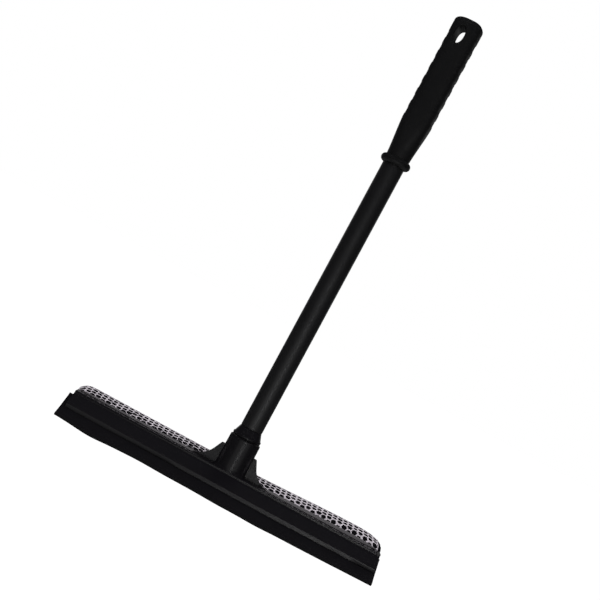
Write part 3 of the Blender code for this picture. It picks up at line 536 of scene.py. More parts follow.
# %% The grip's surface
def grip_rings():
    """Rings of points: a crown, the grooved body, the taper, the ring's half circle and the socket inside."""
    a = np.linspace(0, np.pi / 2, 26)[:-1]
    half_t = GRIP_THICKNESS / 2
    inset = GRIP_WIDTH / 2 * (1 - np.sin(a) ** (2 / CROWN_POWER))
    crown_z = CROWN_RISE - CROWN_HEIGHT * (1 - np.cos(a) ** (2 / CROWN_POWER))
    crown = [crown_z, GRIP_WIDTH / 2 - inset, half_t - np.minimum(inset, half_t), 0 * a + GRIP_POWER]
    neck_z = -TAPER_START - TAPER_LENGTH
    z = np.linspace(CROWN_RISE - CROWN_HEIGHT, neck_z, 300)
    body = [z, *grip_section(z)]
    middle = RING / 2 - RING_ROUND
    meet = math.asin((NECK / 2 - middle) / RING_ROUND)
    ring_z = neck_z - RING_ROUND * math.cos(meet)
    b = np.linspace(meet, math.pi, 26)[1:]
    radius = middle + RING_ROUND * np.sin(b)
    ring = [ring_z + RING_ROUND * np.cos(b), radius, radius, 0 * b + 2]
    bottom, ceiling = ring_z - RING_ROUND, tube_top + GAP
    wall = np.array([SOCKET + 0.4, SOCKET, SOCKET, 0.001])
    inside = [np.array([bottom, bottom + 0.4, ceiling, ceiling]), wall, wall, 0 * wall + 2]
    z, half_w, half_t, power = (np.concatenate(parts)[:, None] for parts in zip(crown, body, ring, inside))
    x, y = superellipse(half_w, half_t, power, 128)
    return np.stack([x, y, z + 0 * x], axis=-1)


def turn_about_z(points, angle):
    """The points turned about Z by the angle."""
    c, s = math.cos(angle), math.sin(angle)
    return points @ np.array([[c, s, 0], [-s, c, 0], [0, 0, 1]])


grip_skin = skin(turn_about_z(grip_rings(), GRIP_TURN), loop_columns=True)
grip = new_piece("grip", [grip_skin], satin_plastic, "handle", ["hand_grip"])

# %% [markdown]
# The hang hole goes right through, and its rim is rounded so that a hook doesn't cut the hand. A cutter
# whose ends flare along a quarter circle leaves that rounding when a Boolean takes it out of the grip.

# %% The hang hole
HOLE_WIDTH, HOLE_HEIGHT, HOLE_POWER, HOLE_SHIFT, HOLE_ROUND = 10.4, 19.0, 2.2, -2.4, 1.4


def hole_rings():
    """Superellipse rings along Y, wider by round * (1 - sin a) at a depth of round * (1 - cos a) under each
    face of the grip, and a last ring out in the air."""
    face = GRIP_THICKNESS / 2
    a = np.radians(np.linspace(0, 90, 12))
    depth = np.concatenate([[face + 3], face - HOLE_ROUND * (1 - np.cos(a))])
    wide = np.concatenate([[HOLE_ROUND * 1.9], HOLE_ROUND * (1 - np.sin(a))])
    depth = np.concatenate([depth, -depth[::-1]])[:, None]
    wide = np.concatenate([wide, wide[::-1]])[:, None]
    x, z = superellipse(HOLE_WIDTH / 2 + wide, HOLE_HEIGHT / 2 + wide, HOLE_POWER, 96)
    return np.stack([x + HOLE_SHIFT, depth + 0 * x, z - HOLE_HEIGHT / 2], axis=-1)


def cut(piece, rings):
    """Takes a closed tube of rings, with flat end faces, out of a piece."""
    points, faces = capped(rings)
    mesh = bpy.data.meshes.new("cutter")
    mesh.from_pydata((points * MM).tolist(), [], faces)
    face_outwards(mesh)
    cutter = add_object("cutter", mesh)
    step = piece.modifiers.new("cut", "BOOLEAN")
    step.operation, step.solver, step.object = "DIFFERENCE", "EXACT", cutter
    bpy.context.view_layer.update()
    result = bpy.data.meshes.new_from_object(piece.evaluated_get(bpy.context.evaluated_depsgraph_get()))
    piece.modifiers.remove(step)
    bpy.data.objects.remove(cutter, do_unlink=True)
    piece.data = result
    result.shade_smooth()
    result.set_sharp_from_angle(angle=math.radians(SHARP))


cut(grip, turn_about_z(hole_rings(), GRIP_TURN))
print("grip with its hole:", len(grip.data.polygons), "faces")

# %% [markdown]
# ## The tube
#
# A plain pipe, whose ends hide in the grip and on the tip's spigot. Its lower rim is chamfered by a third
# of a millimetre, which shows as a thin line where it meets the cone.

# %% The tube's surface
TUBE, TUBE_WALL, CHAMFER = 23.5 / 2, 2.0, 0.3
pipe = [(TUBE - TUBE_WALL, tube_top), (TUBE - CHAMFER, tube_top), (TUBE, tube_top - CHAMFER)]
pipe += [(TUBE, tube_bottom + CHAMFER), (TUBE - 0.2, tube_bottom + 0.05), (TUBE - CHAMFER, tube_bottom)]
pipe += [(TUBE - TUBE_WALL, tube_bottom), (TUBE - TUBE_WALL, tube_top)]
new_piece("tube", [turned(np.array(pipe))], tube_plastic, "handle", ["handle_tube"])

# %% [markdown]
# ## The screw tip
#
# The tip carries the thread of a broom handle: 3/4 in across with five turns to the inch. Above it a coned
# collar widens to meet the hub. A thread is a surface of its own: the radius at angle t and height z
# depends only on z / pitch - t / full turn, so one formula winds the ridge all the way. The ridge fades out
# at both ends.

# %% The thread's formula
PITCH = 25.4 / 5
FADE, THREAD_STEPS = 3.0, 96


def ridge(phase):
    """A rounded Acme tooth, from 0 in the groove to 1 on the crest, that slopes over a fifth of a turn."""
    place = np.abs(np.mod(phase, 1) - 0.5)
    return 1 - smooth(np.clip((place - 0.16) / 0.18, 0, 1))


def threaded(radius_low, radius_high, z_top, z_bottom):
    """The skin r = low + (high - low) * ridge(z / pitch - t / 2 pi), with the ridge faded at both ends."""
    z = np.linspace(z_top, z_bottom, 170)[:, None]
    t = np.linspace(0, 2 * np.pi, THREAD_STEPS, endpoint=False)
    strength = np.clip(np.minimum(z_top - z, z - z_bottom) / FADE, 0, 1)
    tooth = ridge((z - collar_bottom) / PITCH - t / (2 * np.pi)) * strength
    r = radius_low + (radius_high - radius_low) * tooth
    return skin(np.stack([r * np.cos(t), r * np.sin(t), z + 0 * r], axis=-1), loop_columns=True)


# %% The tip's surface
COLLAR, CONE_HEIGHT, RIM_ROUND, LOW_ROUND = 31.0 / 2, 7.8, 0.8, 0.5
PLUG, PLUG_BORE, SHANK, SHANK_ROOT, NOSE = 9.45, 6.45, 9.3, 7.7, 1.2
shoulder = tube_bottom - GAP
a = np.linspace(0, np.pi / 2, 7)
s, c = np.sin(a), np.cos(a)
rim_z = shoulder - CONE_HEIGHT
rim_top = np.stack([COLLAR - RIM_ROUND * (1 - s), rim_z - RIM_ROUND * (1 - c)], axis=-1)
rim_low = np.stack([COLLAR - LOW_ROUND * (1 - c), collar_bottom + LOW_ROUND * (1 - s)], axis=-1)
upper = np.concatenate(
    [
        [(0.001, shoulder), (PLUG_BORE, shoulder), (PLUG_BORE, tip_top), (PLUG, tip_top), (PLUG, shoulder)],
        [(TUBE - 0.3, shoulder), (TUBE - 0.1, shoulder - 0.05), (TUBE, shoulder - 0.25)],
        rim_top,
        rim_low,
        [(SHANK_ROOT, collar_bottom)],
    ]
)
thread_end = tip_bottom + NOSE
nose = np.array([(SHANK_ROOT, thread_end), (SHANK_ROOT - NOSE, tip_bottom), (0.001, tip_bottom)])
tip_skins = [turned(upper, THREAD_STEPS), threaded(SHANK_ROOT, SHANK, collar_bottom, thread_end)]
tip_skins += [turned(nose, THREAD_STEPS)]
new_piece("tip", tip_skins, head_plastic, "handle", ["screw_tip"], 40)

# %% [markdown]
# ## The washer
#
# A rubber ring under the collar keeps the handle from working loose. It is pressed to the collar's width,
# so only its rim shows as a dark line.

# %% The washer's surface
WASHER, WASHER_HOLE = 15.3, 9.6
a = np.linspace(-np.pi / 2, np.pi / 2, 9)
half = (washer_high - washer_low) / 2
edge = np.stack([WASHER - half * (1 - np.cos(a)), washer_low + half * (1 - np.sin(a))], axis=-1)
ring = np.concatenate([[(WASHER_HOLE, washer_high)], edge, [(WASHER_HOLE, washer_low)]])
ring = np.concatenate([ring, ring[:1]])
new_piece("washer", [turned(ring, 96)], washer_rubber, "washer", ["collar_washer"], 50)

# %% [markdown]
# ## The head
#
# The head is one moulding. Its long part has nearly the same section from end to end, like an extrusion: a
# deck on top, a holder that slants forward and down with a keyhole slot for the rubber's bead, and a wall
# behind with two grooves and a shelf for the sponge. The section is worked out at 25 stations along X and a
# skin joins them. The hub, two gussets and the ribs underneath are separate skins that run into it, as they
# would be separate pockets in the mould.

# %% The directions of the blade
BLADE_TILT = math.radians(60)
DECK_FRONT, DECK_REAR, EDGE_LAND, FRONT_PLATE, BEVEL_HEIGHT = 16.5, 1.8, 2.4, 20.2, 4.0
JAW_LIP, REAR_JAW, HELD, EXPOSED, RUBBER, BEAD = 0.6, 3.2, 22.3, 17.6, 3.0, 5.0
WALL, WALL_HEIGHT, SHELF_DEPTH, SHELF = 5.0, 29.0, 12.0, 2.6
NET_GROOVES, NET_GROOVE_WIDTH, NET_GROOVE_DEPTH = (-21.2, -8.8), 3.4, 3.2
along = np.array([-math.sin(BLADE_TILT), -math.cos(BLADE_TILT)])
across = np.array([math.cos(BLADE_TILT), -math.sin(BLADE_TILT)])
land = np.array([-DECK_FRONT, -EDGE_LAND])
bevel_top = land + along * FRONT_PLATE
lip = bevel_top + np.array([0, -BEVEL_HEIGHT])
mouth = lip + across * (JAW_LIP + GAP + RUBBER / 2)
jaw_end = mouth + across * (RUBBER / 2 + GAP + REAR_JAW)
wall_front = DECK_REAR - WALL
crotch = jaw_end - along * (wall_front - jaw_end[0]) / -along[0]
print("rubber's mouth at y %.1f, z %.1f" % tuple(mouth))


def keyhole(half_slot, bead_radius, start):
    """Up one side of the strip, round its bead and down the other side, from the start and back to it."""
    neck = math.asin(half_slot / bead_radius)
    a = np.linspace(neck, 2 * np.pi - neck, 33)[:, None]
    bead = mouth - along * HELD
    circle = bead + along * (bead_radius * np.cos(a)) - across * (bead_radius * np.sin(a))
    return np.concatenate([[start - across * half_slot], circle, [start + across * half_slot]])


# %% The head's section
def head_outline(x):
    """The section at x. The moulding isn't quite straight: its plate reaches 1.07 (1 - ((x - 30) / 230)^2) mm
    further down in the middle, its lip hangs 1.05 - 2.2 ((x - 45) / 215)^2 mm lower, less 0.61 of that reach,
    and the round along the deck's front edge widens from 0.45 mm to 1.85 mm on the left."""
    reach = 1.07 * (1 - ((x - 30) / 230) ** 2)
    drop = 1.05 - 2.2 * ((x - 45) / 215) ** 2 - 0.61 * reach
    front_round = 0.45 + 1.4 * np.clip((-20 - x) / 100, 0, 1)
    corners = [(-DECK_FRONT, 0, front_round), (*land, 0.4), (*(bevel_top + along * reach), 0.8)]
    corners += [(*(lip + along * reach - (0, drop)), 0)]
    corners += [(*p, 0) for p in keyhole(RUBBER / 2 + GAP, BEAD / 2 + GAP, mouth + along * reach)]
    corners += [(*jaw_end, 0.8), (*crotch, 1.5), (wall_front, -WALL_HEIGHT, 0.6)]
    back, shelf_end, shelf_top = DECK_REAR, DECK_REAR + SHELF_DEPTH, SHELF - WALL_HEIGHT
    corners += [(shelf_end, -WALL_HEIGHT, 0.6), (shelf_end, shelf_top, 0.6), (back, shelf_top, 1.0)]
    for middle in NET_GROOVES:
        low, high = middle - NET_GROOVE_WIDTH / 2, middle + NET_GROOVE_WIDTH / 2
        bottom = back - NET_GROOVE_DEPTH
        corners += [(back, low, 0.2), (bottom, low, 0.2), (bottom, high, 0.2), (back, high, 0.2)]
    return rounded(corners + [(back, 0, 0.6)])


stations = np.linspace(-head_end, head_end, 25)
head_skins = [capped(np.stack([np.insert(head_outline(x) + (0, deck), 0, x, axis=1) for x in stations]))]

# %% [markdown]
# Seven ribs join the slanted holder to the wall underneath, so that pressing on the blade doesn't bend it.

# %% The ribs
RIBS, RIB_PITCH, RIB = 7, 48.0, 2.0
rib_low, rib_rear = jaw_end - along * 3.0, wall_front + 1
rib = [rib_low + (-1, 1), crotch + (0, 1), (rib_rear, crotch[1] + 1), (rib_rear, 4 - WALL_HEIGHT), rib_low]
for k in range(RIBS):
    points, faces = prism(np.array(rib) + (0, deck), RIB / 2, 0)
    head_skins.append((points + ((k - (RIBS - 1) / 2) * RIB_PITCH, 0, 0), faces))
head = new_piece("head_bar", head_skins, head_plastic, "head", ["head_frame"], 30)
soften_edges(head, 0.25)

# %% [markdown]
# ## The hub and its gussets
#
# The hub is a boss with a blind threaded hole for the tip. Its rim is rounded by less than a millimetre,
# which catches a thin line of light, and its foot flares into the deck. Its front is a little flatter, to
# stay behind the deck's edge. The two gussets are thin webs in the plane of the handle, which stop the hub
# from snapping off: a short level top, a steep edge and a long sweep to the deck.

# %% The hub
HUB, HUB_FOOT, HUB_ROUND, FLARE, HUB_FLATTER = 33.2 / 2, 34.2 / 2, 0.8, 1.6, 0.93
BORE, BORE_FLOOR, THREAD_DEPTH, SUNK = 9.7, 2.2, 0.9, 1.2
a = np.linspace(0, np.pi / 2, 9)
s, c = np.sin(a), np.cos(a)
bore_lip = np.stack([BORE + THREAD_DEPTH * (1 - s), HUB_HEIGHT - THREAD_DEPTH * (1 - c)], axis=-1)
rim = np.stack([HUB - HUB_ROUND * (1 - s), HUB_HEIGHT - HUB_ROUND * (1 - c)], axis=-1)
side = np.linspace((HUB, HUB_HEIGHT - HUB_ROUND), (HUB_FOOT, FLARE), 24)[1:-1]
# The top is dished towards the bore, whose mouth has a thin lip. The side ends in a straight flare down to
# the deck, and a curve leads back under it, where it can't be seen.
under_flare = np.stack([HUB_FOOT + FLARE * (1 - s), FLARE * (1 - c)], axis=-1)
outer = np.concatenate([bore_lip, rim, side, under_flare, [(HUB_FOOT - 1.5, -SUNK), (0.001, -SUNK)]])
shell, shell_faces = turned(outer + (0, deck))
y = shell[:, 1]
shell[:, 1] = np.where(y < 0, np.maximum(y * HUB_FLATTER, 0.4 - DECK_FRONT), y)
bore = threaded(BORE, BORE + THREAD_DEPTH, deck + HUB_HEIGHT - THREAD_DEPTH, deck + BORE_FLOOR)
floor_of_bore = turned(np.array([(BORE, BORE_FLOOR), (0.001, BORE_FLOOR)]) + (0, deck), THREAD_STEPS)
new_piece("hub", [(shell, shell_faces), bore, floor_of_bore], head_plastic, "head")

# %% The gussets
GUSSET, GUSSET_HEIGHT, TOP_REACH, SLOPE, TOP_ROUND, SWEEP = 3.0, 23.0, 19.9, math.radians(64), 1.8, 25.6
ROOT, TOE, BURIED = 14.0, -0.35, -2.0
foot = TOP_REACH + (GUSSET_HEIGHT - TOE) / math.tan(SLOPE)
tail = foot + SWEEP * math.tan(SLOPE / 2) + 0.1
web = [(ROOT, GUSSET_HEIGHT, 0), (TOP_REACH, GUSSET_HEIGHT, TOP_ROUND), (foot, TOE, SWEEP), (tail, TOE, 0)]
right_web = rounded(web + [(tail, BURIED, 0), (ROOT, BURIED, 0)], 24)
webs = [prism(right_web * (side, 1) + (0, deck), GUSSET / 2, 1) for side in (1, -1)]
gussets = new_piece("gussets", webs, head_plastic, "head", sharp=30)
soften_edges(gussets, 0.5, 3)

# %% [markdown]
# ## The rubber blade
#
# The strip is three millimetres thick with a bead along its held edge. It was cut slightly long, so it
# stands out past the plastic, more on the left. Its free edge isn't perfectly straight: between the points
# where the slot grips it, the rubber bows by up to two millimetres. Each point moves across the strip by a
# sum of slow waves along X, times the square of how far it stands out of the slot, so that the held part
# stays still.

# %% The blade's surface
BLADE_HALF, BLADE_SHIFT = 355.6 / 2, -1.3


def bow(x):
    """Millimetres that the free edge is lifted: it curls up at both ends and near x = -84, and hangs lower
    near x = -138 and from x = 8 to 84."""
    left = np.clip((-142 - x) / 34, 0, 1)
    droop = 1.5 * np.exp(-(((x + 138) / 17) ** 2)) + 1.1 * np.exp(-(((x - 8) / 24) ** 2))
    droop += 1.5 * np.exp(-(((x - 46) / 20) ** 2)) + 0.8 * np.exp(-(((x - 84) / 30) ** 2))
    right = np.exp(-(((x + 84) / 22) ** 2)) + 1.3 * np.clip((x - 126) / 50, 0, 1)
    return 0.9 * right + 1.9 * left**1.5 - droop


def blade_rows():
    """Rows along X of the keyhole outline, bowed: shift = -across * bow(x) * (distance out / exposed)^2."""
    bare = keyhole(RUBBER / 2, BEAD / 2, mouth + along * EXPOSED)
    side = np.linspace(0, 1, 14)[:-1, None]
    front = bare[0] * (1 - side) + bare[1] * side
    back = bare[-2] * (1 - side) + bare[-1] * side
    outline = np.concatenate([front, bare[1:-2], back, bare[-1:]])
    x = np.linspace(-BLADE_HALF, BLADE_HALF, 120) + BLADE_SHIFT
    out = np.clip((outline - mouth) @ along / EXPOSED, 0, 1) ** 2
    flat = outline - across * (bow(x)[:, None] * out)[..., None] + (0, deck)
    return np.concatenate([0 * flat[..., :1] + x[:, None, None], flat], axis=-1)


new_piece("blade", [capped(blade_rows())], blade_rubber, "head", ["rubber_blade"], 30)

# %% [markdown]
# ## The sponge
#
# The pad is a loaf of foam, fuller on the right, pressed against the wall and notched round the hub. Its
# surface is a function of two numbers: x along the head, and s, the distance round its section from the
# middle of its front. The same function places the foam and, a little further out, the net, so they always
# fit each other.

# %% The pad's outline
PAD_LENGTH = 2 * head_end + 2.0
FRONT, PAD_DEPTH, PAD_DROP, FRONT_RISE = DECK_REAR + GAP, 48.0, WALL_HEIGHT - SHELF - GAP, 0.8
BACK_HEIGHT, FULLER_FROM, FULLER_TO = 7.8, 15.0, 145.0
LEFT_AT, LEFT_SHARE = FRONT + np.array([4, 17, 24, 34]), [0.54, 0.67, 0.65, 0.60]
LEFT_END, LEFT_ROUND, RIGHT_END, RIGHT_ROUND = 0.58, 12.0, 0.70, 27.0
RIGHT_CUT = 0.9  # the rounding on the right is complete this far before the foam's end
CORE_Z, CORE_INSET, END_TUCK, END_GATHER = -12.0, 12.0, 14.0, 0.45
FOAM_INSET, FOAM_SKIN, END_EDGE = 2.2, 0.40, 1.5
HUB_ROOM, HUB_NOTCH_LOW = 0.6, -2.4

front_middle = (FRONT_RISE - PAD_DROP) / 2
back = FRONT + PAD_DEPTH
outline = [(FRONT, front_middle, 0), (FRONT, 1.8, 1.5), (FRONT + 3.8, 6.9, 5.0), (FRONT + 19.0, 10.4, 25.0)]
outline += [(FRONT + 30.0, 8.8, 20.0), (back, BACK_HEIGHT, 17.0)]
outline += [(back + 2, (BACK_HEIGHT - PAD_DROP) / 2 - 2, 20.0), (back - 4, -PAD_DROP, 12.0)]
loaf = rounded(outline + [(FRONT, -PAD_DROP, 3.2)], parts=24)
loaf = np.concatenate([loaf, loaf[:1]])
loaf_s = np.concatenate([[0], np.cumsum(np.hypot(*np.diff(loaf, axis=0).T))])
girth = loaf_s[-1]
print("the pad is %.1f mm round" % girth)


# %% The pad's surface
def pad_surface(x, s, inset):
    """Points for x and s. The outline is lower on the left, moves in by the inset, shrinks at both rounded
    ends, is pushed back round the hub, and past the left end folds in across the end of the foam."""
    x, s = np.broadcast_arrays(np.asarray(x, float), np.asarray(s, float))
    y, z = (np.interp(np.mod(s, girth), loaf_s, loaf[:, k]) for k in (0, 1))
    share = np.interp(y, LEFT_AT, LEFT_SHARE)
    share += (1 - share) * smooth(np.clip((x - FULLER_FROM) / (FULLER_TO - FULLER_FROM), 0, 1))
    here = np.stack([y, np.where(z > 0, z * share, z)], axis=-1)
    nearest = np.clip(here[..., 0], FRONT + CORE_INSET, FRONT + PAD_DEPTH - CORE_INSET)
    inward = np.stack([nearest, np.full_like(nearest, CORE_Z)], axis=-1) - here
    inset = np.broadcast_to(np.asarray(inset, float), x.shape)
    here = here + inward * (inset / np.linalg.norm(inward, axis=-1))[..., None]
    within = np.clip(inset, 0, None)
    end = -PAD_LENGTH / 2 + within
    over = np.maximum(x, end)
    left = np.clip((over - end) / LEFT_ROUND, 0, 1)
    right = np.clip((PAD_LENGTH / 2 - RIGHT_CUT - within - over) / RIGHT_ROUND, 0, 1)
    left_size = LEFT_END + (1 - LEFT_END) * np.sqrt(1 - (1 - left) ** 2)
    right_size = RIGHT_END + (1 - RIGHT_END) * np.sqrt(1 - (1 - right) ** 2)
    size = np.minimum(left_size, right_size) * (1 - np.clip(end - x, 0, None) / END_TUCK * END_GATHER)
    core = np.stack([FRONT + within, np.full_like(within, CORE_Z)], axis=-1)
    flat = core + (here - core) * size[..., None]
    clear = np.sqrt(np.clip((HUB_FOOT + HUB_ROOM + within * 0.2) ** 2 - over**2, 0, None))
    beside_hub = np.clip((flat[..., 1] - HUB_NOTCH_LOW) / 0.1, 0, 1)
    flat[..., 0] = np.where(beside_hub > 0, np.maximum(flat[..., 0], clear * beside_hub), flat[..., 0])
    return np.stack([over, flat[..., 0], flat[..., 1] + deck], axis=-1)


# %% [markdown]
# The foam presses into every gap of the net, so its skin swells there by a tenth of a millimetre. That
# swelling follows the same honeycomb as the net. A cloth simulation could inflate the pad, but foam keeps
# the shape that it was cut to and the net only rounds it, so the formula gives the better loaf.

# %% The foam
CELL = 11.86 / 3
ROW = math.sqrt(3) * CELL
NET_TOP, HEM_TOP, HEM_LOW = 12.9, 15.6, girth - (front_middle + PAD_DROP) - 2.0
NET_LEFT, NET_RIGHT, SWELL = -175.3, 170.7, 0.12


def honeycomb(x, s):
    """1 in the middle of a mesh and 0 under the strands: the mean of a cosine along x and one along s."""
    u, v = 2 * np.pi * (x - NET_LEFT - CELL) / (3 * CELL), 2 * np.pi * (s - NET_TOP - ROW / 2) / ROW
    return np.clip((np.cos(u) + np.cos(v)) / 2, 0, 1) + np.clip((-np.cos(u) - np.cos(v)) / 2, 0, 1)


left_part = -PAD_LENGTH / 2 + FOAM_INSET + LEFT_ROUND * np.linspace(0, 1, 16) ** 1.6
right_part = PAD_LENGTH / 2 - RIGHT_ROUND * np.linspace(1, 0, 24) ** 1.6
x = np.concatenate([left_part, np.linspace(left_part[-1], right_part[0], 412)[1:-1], right_part])
X, S = np.meshgrid(x, np.linspace(0, girth, 221)[:-1], indexing="ij")
swell = SWELL * honeycomb(X, S) * np.clip((NET_RIGHT - np.abs(X)) / 6, 0, 1)
end_round = np.clip((X - PAD_LENGTH / 2 + END_EDGE) / END_EDGE, 0, 1)
foam_rows = pad_surface(X, S, FOAM_SKIN - swell + END_EDGE * (1 - np.sqrt(1 - end_round**2)))
foam = new_piece("foam", [capped(foam_rows)], sponge_black, "head", ["sponge_foam"], 60)

# %% [markdown]
# ## The net
#
# The net is knitted flat with six-sided meshes, 11.9 mm from one to the next in a row, and drawn tight over
# the foam. Its hems are folded and pressed into grooves in the wall, and the front one lies forward on the
# deck first. Each mesh is one small patch: a ring of points on the middle line of the strands, then rings
# that round over to the rim of the hole. The patch is repeated over the flat net, and every point then goes
# to its place on the pad, raised by its height above the foam.

# %% One mesh of the net
STRAND, THICK, TO_SIDE = 1.2, 0.26, math.cos(math.radians(30))
angles = np.radians(np.arange(0, 360, 30))
is_corner = np.arange(len(angles)) % 2 == 0
border = np.where(is_corner, CELL, CELL * TO_SIDE)
hole = np.where(is_corner, CELL - STRAND / math.sqrt(3), CELL * TO_SIDE - STRAND / 2)
mesh_rings = [(0.0, 1.00), (0.50, 0.90), (0.80, 0.62), (1.0, 0.20), (0.95, -0.1), (0.0, -0.1)]
share, ring_lift = np.array(mesh_rings).T
outward = np.stack([np.cos(angles), np.sin(angles)], axis=-1)
print("one mesh:", len(mesh_rings) - 1, "bands of", len(angles), "faces")

# %% [markdown]
# The net was made and drawn on by hand, so its rows aren't quite straight and its right edge isn't square.
# Two small functions move the points of the flat net before they go to the pad.


# %% How the net strays
def slanted(x, s):
    """The right edge of the net was cut askew: x falls by 0.15 mm for each mm of s there. That share shrinks
    with the square of the way back to x = 120, and there is none further left."""
    near = np.clip((x - 120) / (NET_RIGHT - 120), 0, 1)
    return x - near * near * (0.15 * (np.clip(s, NET_TOP, 30) - 22) - 0.8)


def wander(x, s):
    """How far the rows of meshes stray along s, in mm. The net was drawn on by hand, so its rows sag near the
    left end, climb towards the hub and lie lower right of it. Below the crest they run straight again."""
    rise = 2.8 * np.exp(-(((x + 48) / 24) ** 2)) - 1.9 * np.exp(-(((x + 139) / 16) ** 2))
    right, far_right = np.clip((x + 10) / 60, 0, 1), np.clip((x - 85) / 40, 0, 1)
    return (rise + 1.7 * smooth(far_right) - 3.4 * smooth(right)) * np.clip((80 - s) / 40, 0, 1)


# %% The whole net
columns = np.arange(math.floor((NET_RIGHT - NET_LEFT - 2 * CELL) / (1.5 * CELL)) + 1)
rows_in_net = np.arange(math.floor((HEM_LOW - NET_TOP) / ROW) + 1)
C, R = np.meshgrid(columns, rows_in_net, indexing="ij")
centre_x = NET_LEFT + CELL + C * 1.5 * CELL
centre_s = NET_TOP + ROW / 2 + (R + 0.5 * (C % 2)) * ROW
keep = centre_s < HEM_LOW + 0.1
centres = np.stack([centre_x[keep], centre_s[keep]], axis=-1)
draw = np.random.default_rng(7)
hole_size = np.clip(draw.normal(1, 0.06, len(centres)), 0.88, 1.12)
# No two holes are quite alike. They are a twelfth smaller past the pad's crest, and again on the right.
hole_size *= np.interp(centres[:, 1], [20, 32], [1, 0.92]) * np.interp(centres[:, 0], [0, 90], [1, 0.92])
hole_size = hole_size[:, None, None]
hole_shift = np.clip(draw.normal(0, 0.2, (len(centres), 1, 1, 2)), -0.4, 0.4)
radius = border + (hole * hole_size - border) * share[:, None]
flat = centres[:, None, None, :] + outward * radius[..., None] + hole_shift * share[:, None, None]
lift = ring_lift[:, None] + 0 * radius
# A corner that fewer than three meshes share, or a side that only one has, is on the net's edge, and flat.
outer_ring = flat[:, 0].round(2).reshape(-1, 2)
_, which, shared = np.unique(outer_ring, axis=0, return_inverse=True, return_counts=True)
outside = shared[which].reshape(-1, len(angles)) < np.where(is_corner, 3, 2)
lift[:, 0][outside] = lift[:, -1][outside] = 0
strayed = flat[..., 1] + wander(flat[..., 0], flat[..., 1])
net_points = pad_surface(slanted(flat[..., 0], strayed), strayed, FOAM_SKIN - lift * THICK)
quads = np.array(skin(np.zeros((len(mesh_rings), len(angles), 3)), loop_columns=True)[1])
first_points = np.arange(len(centres)) * len(mesh_rings) * len(angles)
net_skin = (net_points.reshape(-1, 3), (quads + first_points[:, None, None]).reshape(-1, 4).tolist())
# The third value of each point is its height above the foam, which the yarn's painted shade reads.
laid = np.concatenate([flat, lift[..., None]], axis=-1).reshape(-1, 3)
net = new_piece("net", [net_skin], net_yarn, "head", ["sponge_net"], 60, laid)
print("meshes in the net:", len(centres))

# %% [markdown]
# The hems run along the front and the underside, a selvedge closes the right end, and at the left end the
# net is gathered over the foam so tightly that its meshes close up. Each is a band: the same surface
# between two values of s or x, with a top, a bottom and rounded edges.


# %% How a band is laid
def flap(x):
    """How far the front hem reaches forward on the deck: 4 to 11 mm, but nothing by the hub and gussets."""
    return (4 + 7 * (1 - ((x - 30) / 195) ** 2)) * np.clip((np.abs(x) - 41) / 3, 0, 1)


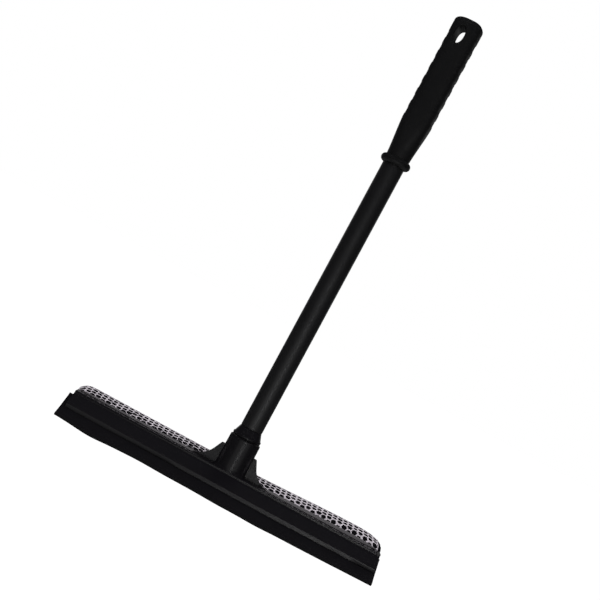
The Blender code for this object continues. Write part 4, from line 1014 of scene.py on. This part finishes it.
def band(name, x, s, height, material, forward=None):
    """A closed band over the grid of x and s: an upper skin at the height, and a lower skin on the foam. The
    part above the deck can lie forward on it, fully at the deck's height and not at all at its upper edge."""
    X, S = np.meshgrid(x, s, indexing="ij")
    edge_x, edge_s = np.minimum(X - x[0], x[-1] - X), np.minimum(S - s[0], s[-1] - S)
    fall = np.clip(np.minimum(edge_x, edge_s) / 0.5, 0, 1)
    lift = height(X, S) * np.sqrt(1 - (1 - fall) ** 2)
    top = pad_surface(slanted(X, S), S, FOAM_SKIN - lift)
    if forward is not None:
        above_deck = np.clip((top[..., 2] - deck) / 0.3, 0, 1)
        top[..., 1] -= forward(X) * above_deck * np.clip((s[-1] - S) / (s[-1] + front_middle), 0, 1)
    bottom = pad_surface(slanted(X, S), S, FOAM_SKIN + 0.1)
    points = np.concatenate([top.reshape(-1, 3), bottom.reshape(-1, 3)])
    faces = skin(top)[1]
    n, m = X.shape
    faces += [[k + n * m for k in face[::-1]] for face in faces]
    index = np.arange(n * m).reshape(n, m)
    loop = np.concatenate([index[:, 0], index[-1, 1:], index[-2::-1, -1], index[0, -2:0:-1]])
    faces += [[a, b, b + n * m, a + n * m] for a, b in zip(loop, np.roll(loop, -1))]
    # The band's height, scaled to 1 at its highest, is what the yarn's painted shade reads.
    flat = np.stack([X, S, lift / lift.max()], axis=-1).reshape(-1, 3)
    laid = np.concatenate([flat, flat])
    return new_piece(name, [(points, faces)], material, "head", sharp=60, attribute=laid)


# %% The folds of each band
def pleat(x, s):
    """A hem is drawn into small tucks, 3 mm apart: its height is 0.60 + 0.10 sin(2.1 x) sin(1.3 s) mm."""
    return 0.60 + 0.10 * np.sin(x * 2.1) * np.sin(s * 1.3)


def plain(x, s):
    """The selvedge is level, 0.62 mm high."""
    return 0.62 + 0 * x


def folds(x, s):
    """The gathered end has folds 3.3 mm apart that wave a little and die out towards the meshes: at the far
    end their height is 0.70 + 0.22 sin(1.9 s + 0.8 sin(0.7 x)) mm."""
    return 0.70 + 0.22 * np.sin(s * 1.9 + 0.8 * np.sin(x * 0.7)) * np.clip((NET_LEFT + 2 - x) / 6, 0, 1)


# %% Hems, selvedge and gathered end
start, stop = NET_GROOVES[1] - front_middle, girth - (front_middle - NET_GROOVES[0])
hem_x = np.linspace(NET_LEFT - 1, NET_RIGHT, 330)
front_hem = band("front_hem", hem_x, np.linspace(start, HEM_TOP, 36), pleat, hem_yarn, flap)
under_hem = band("under_hem", hem_x, np.linspace(HEM_LOW, stop, 16), pleat, hem_yarn)
selvedge_x = np.linspace(NET_RIGHT - 1.0, NET_RIGHT, 6)
selvedge = band("selvedge", selvedge_x, np.linspace(start, stop, 200), plain, net_yarn)
gathered_x = np.linspace(-PAD_LENGTH / 2 - END_TUCK, NET_LEFT + 1.2, 60)
gathered = band("gathered_end", gathered_x, np.linspace(start, stop, 260), folds, net_yarn)
print("the hems start %.1f mm and end %.1f mm round the pad" % (start, stop))

# %% [markdown]
# Two strips pressed into the wall's grooves hold the net's hems; they keep the shape of their solids and get
# the head's plastic.

for name in ("upper_net_spline", "lower_net_spline"):
    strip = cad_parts[name]
    strip.data.materials.clear()
    strip.data.materials.append(head_plastic)
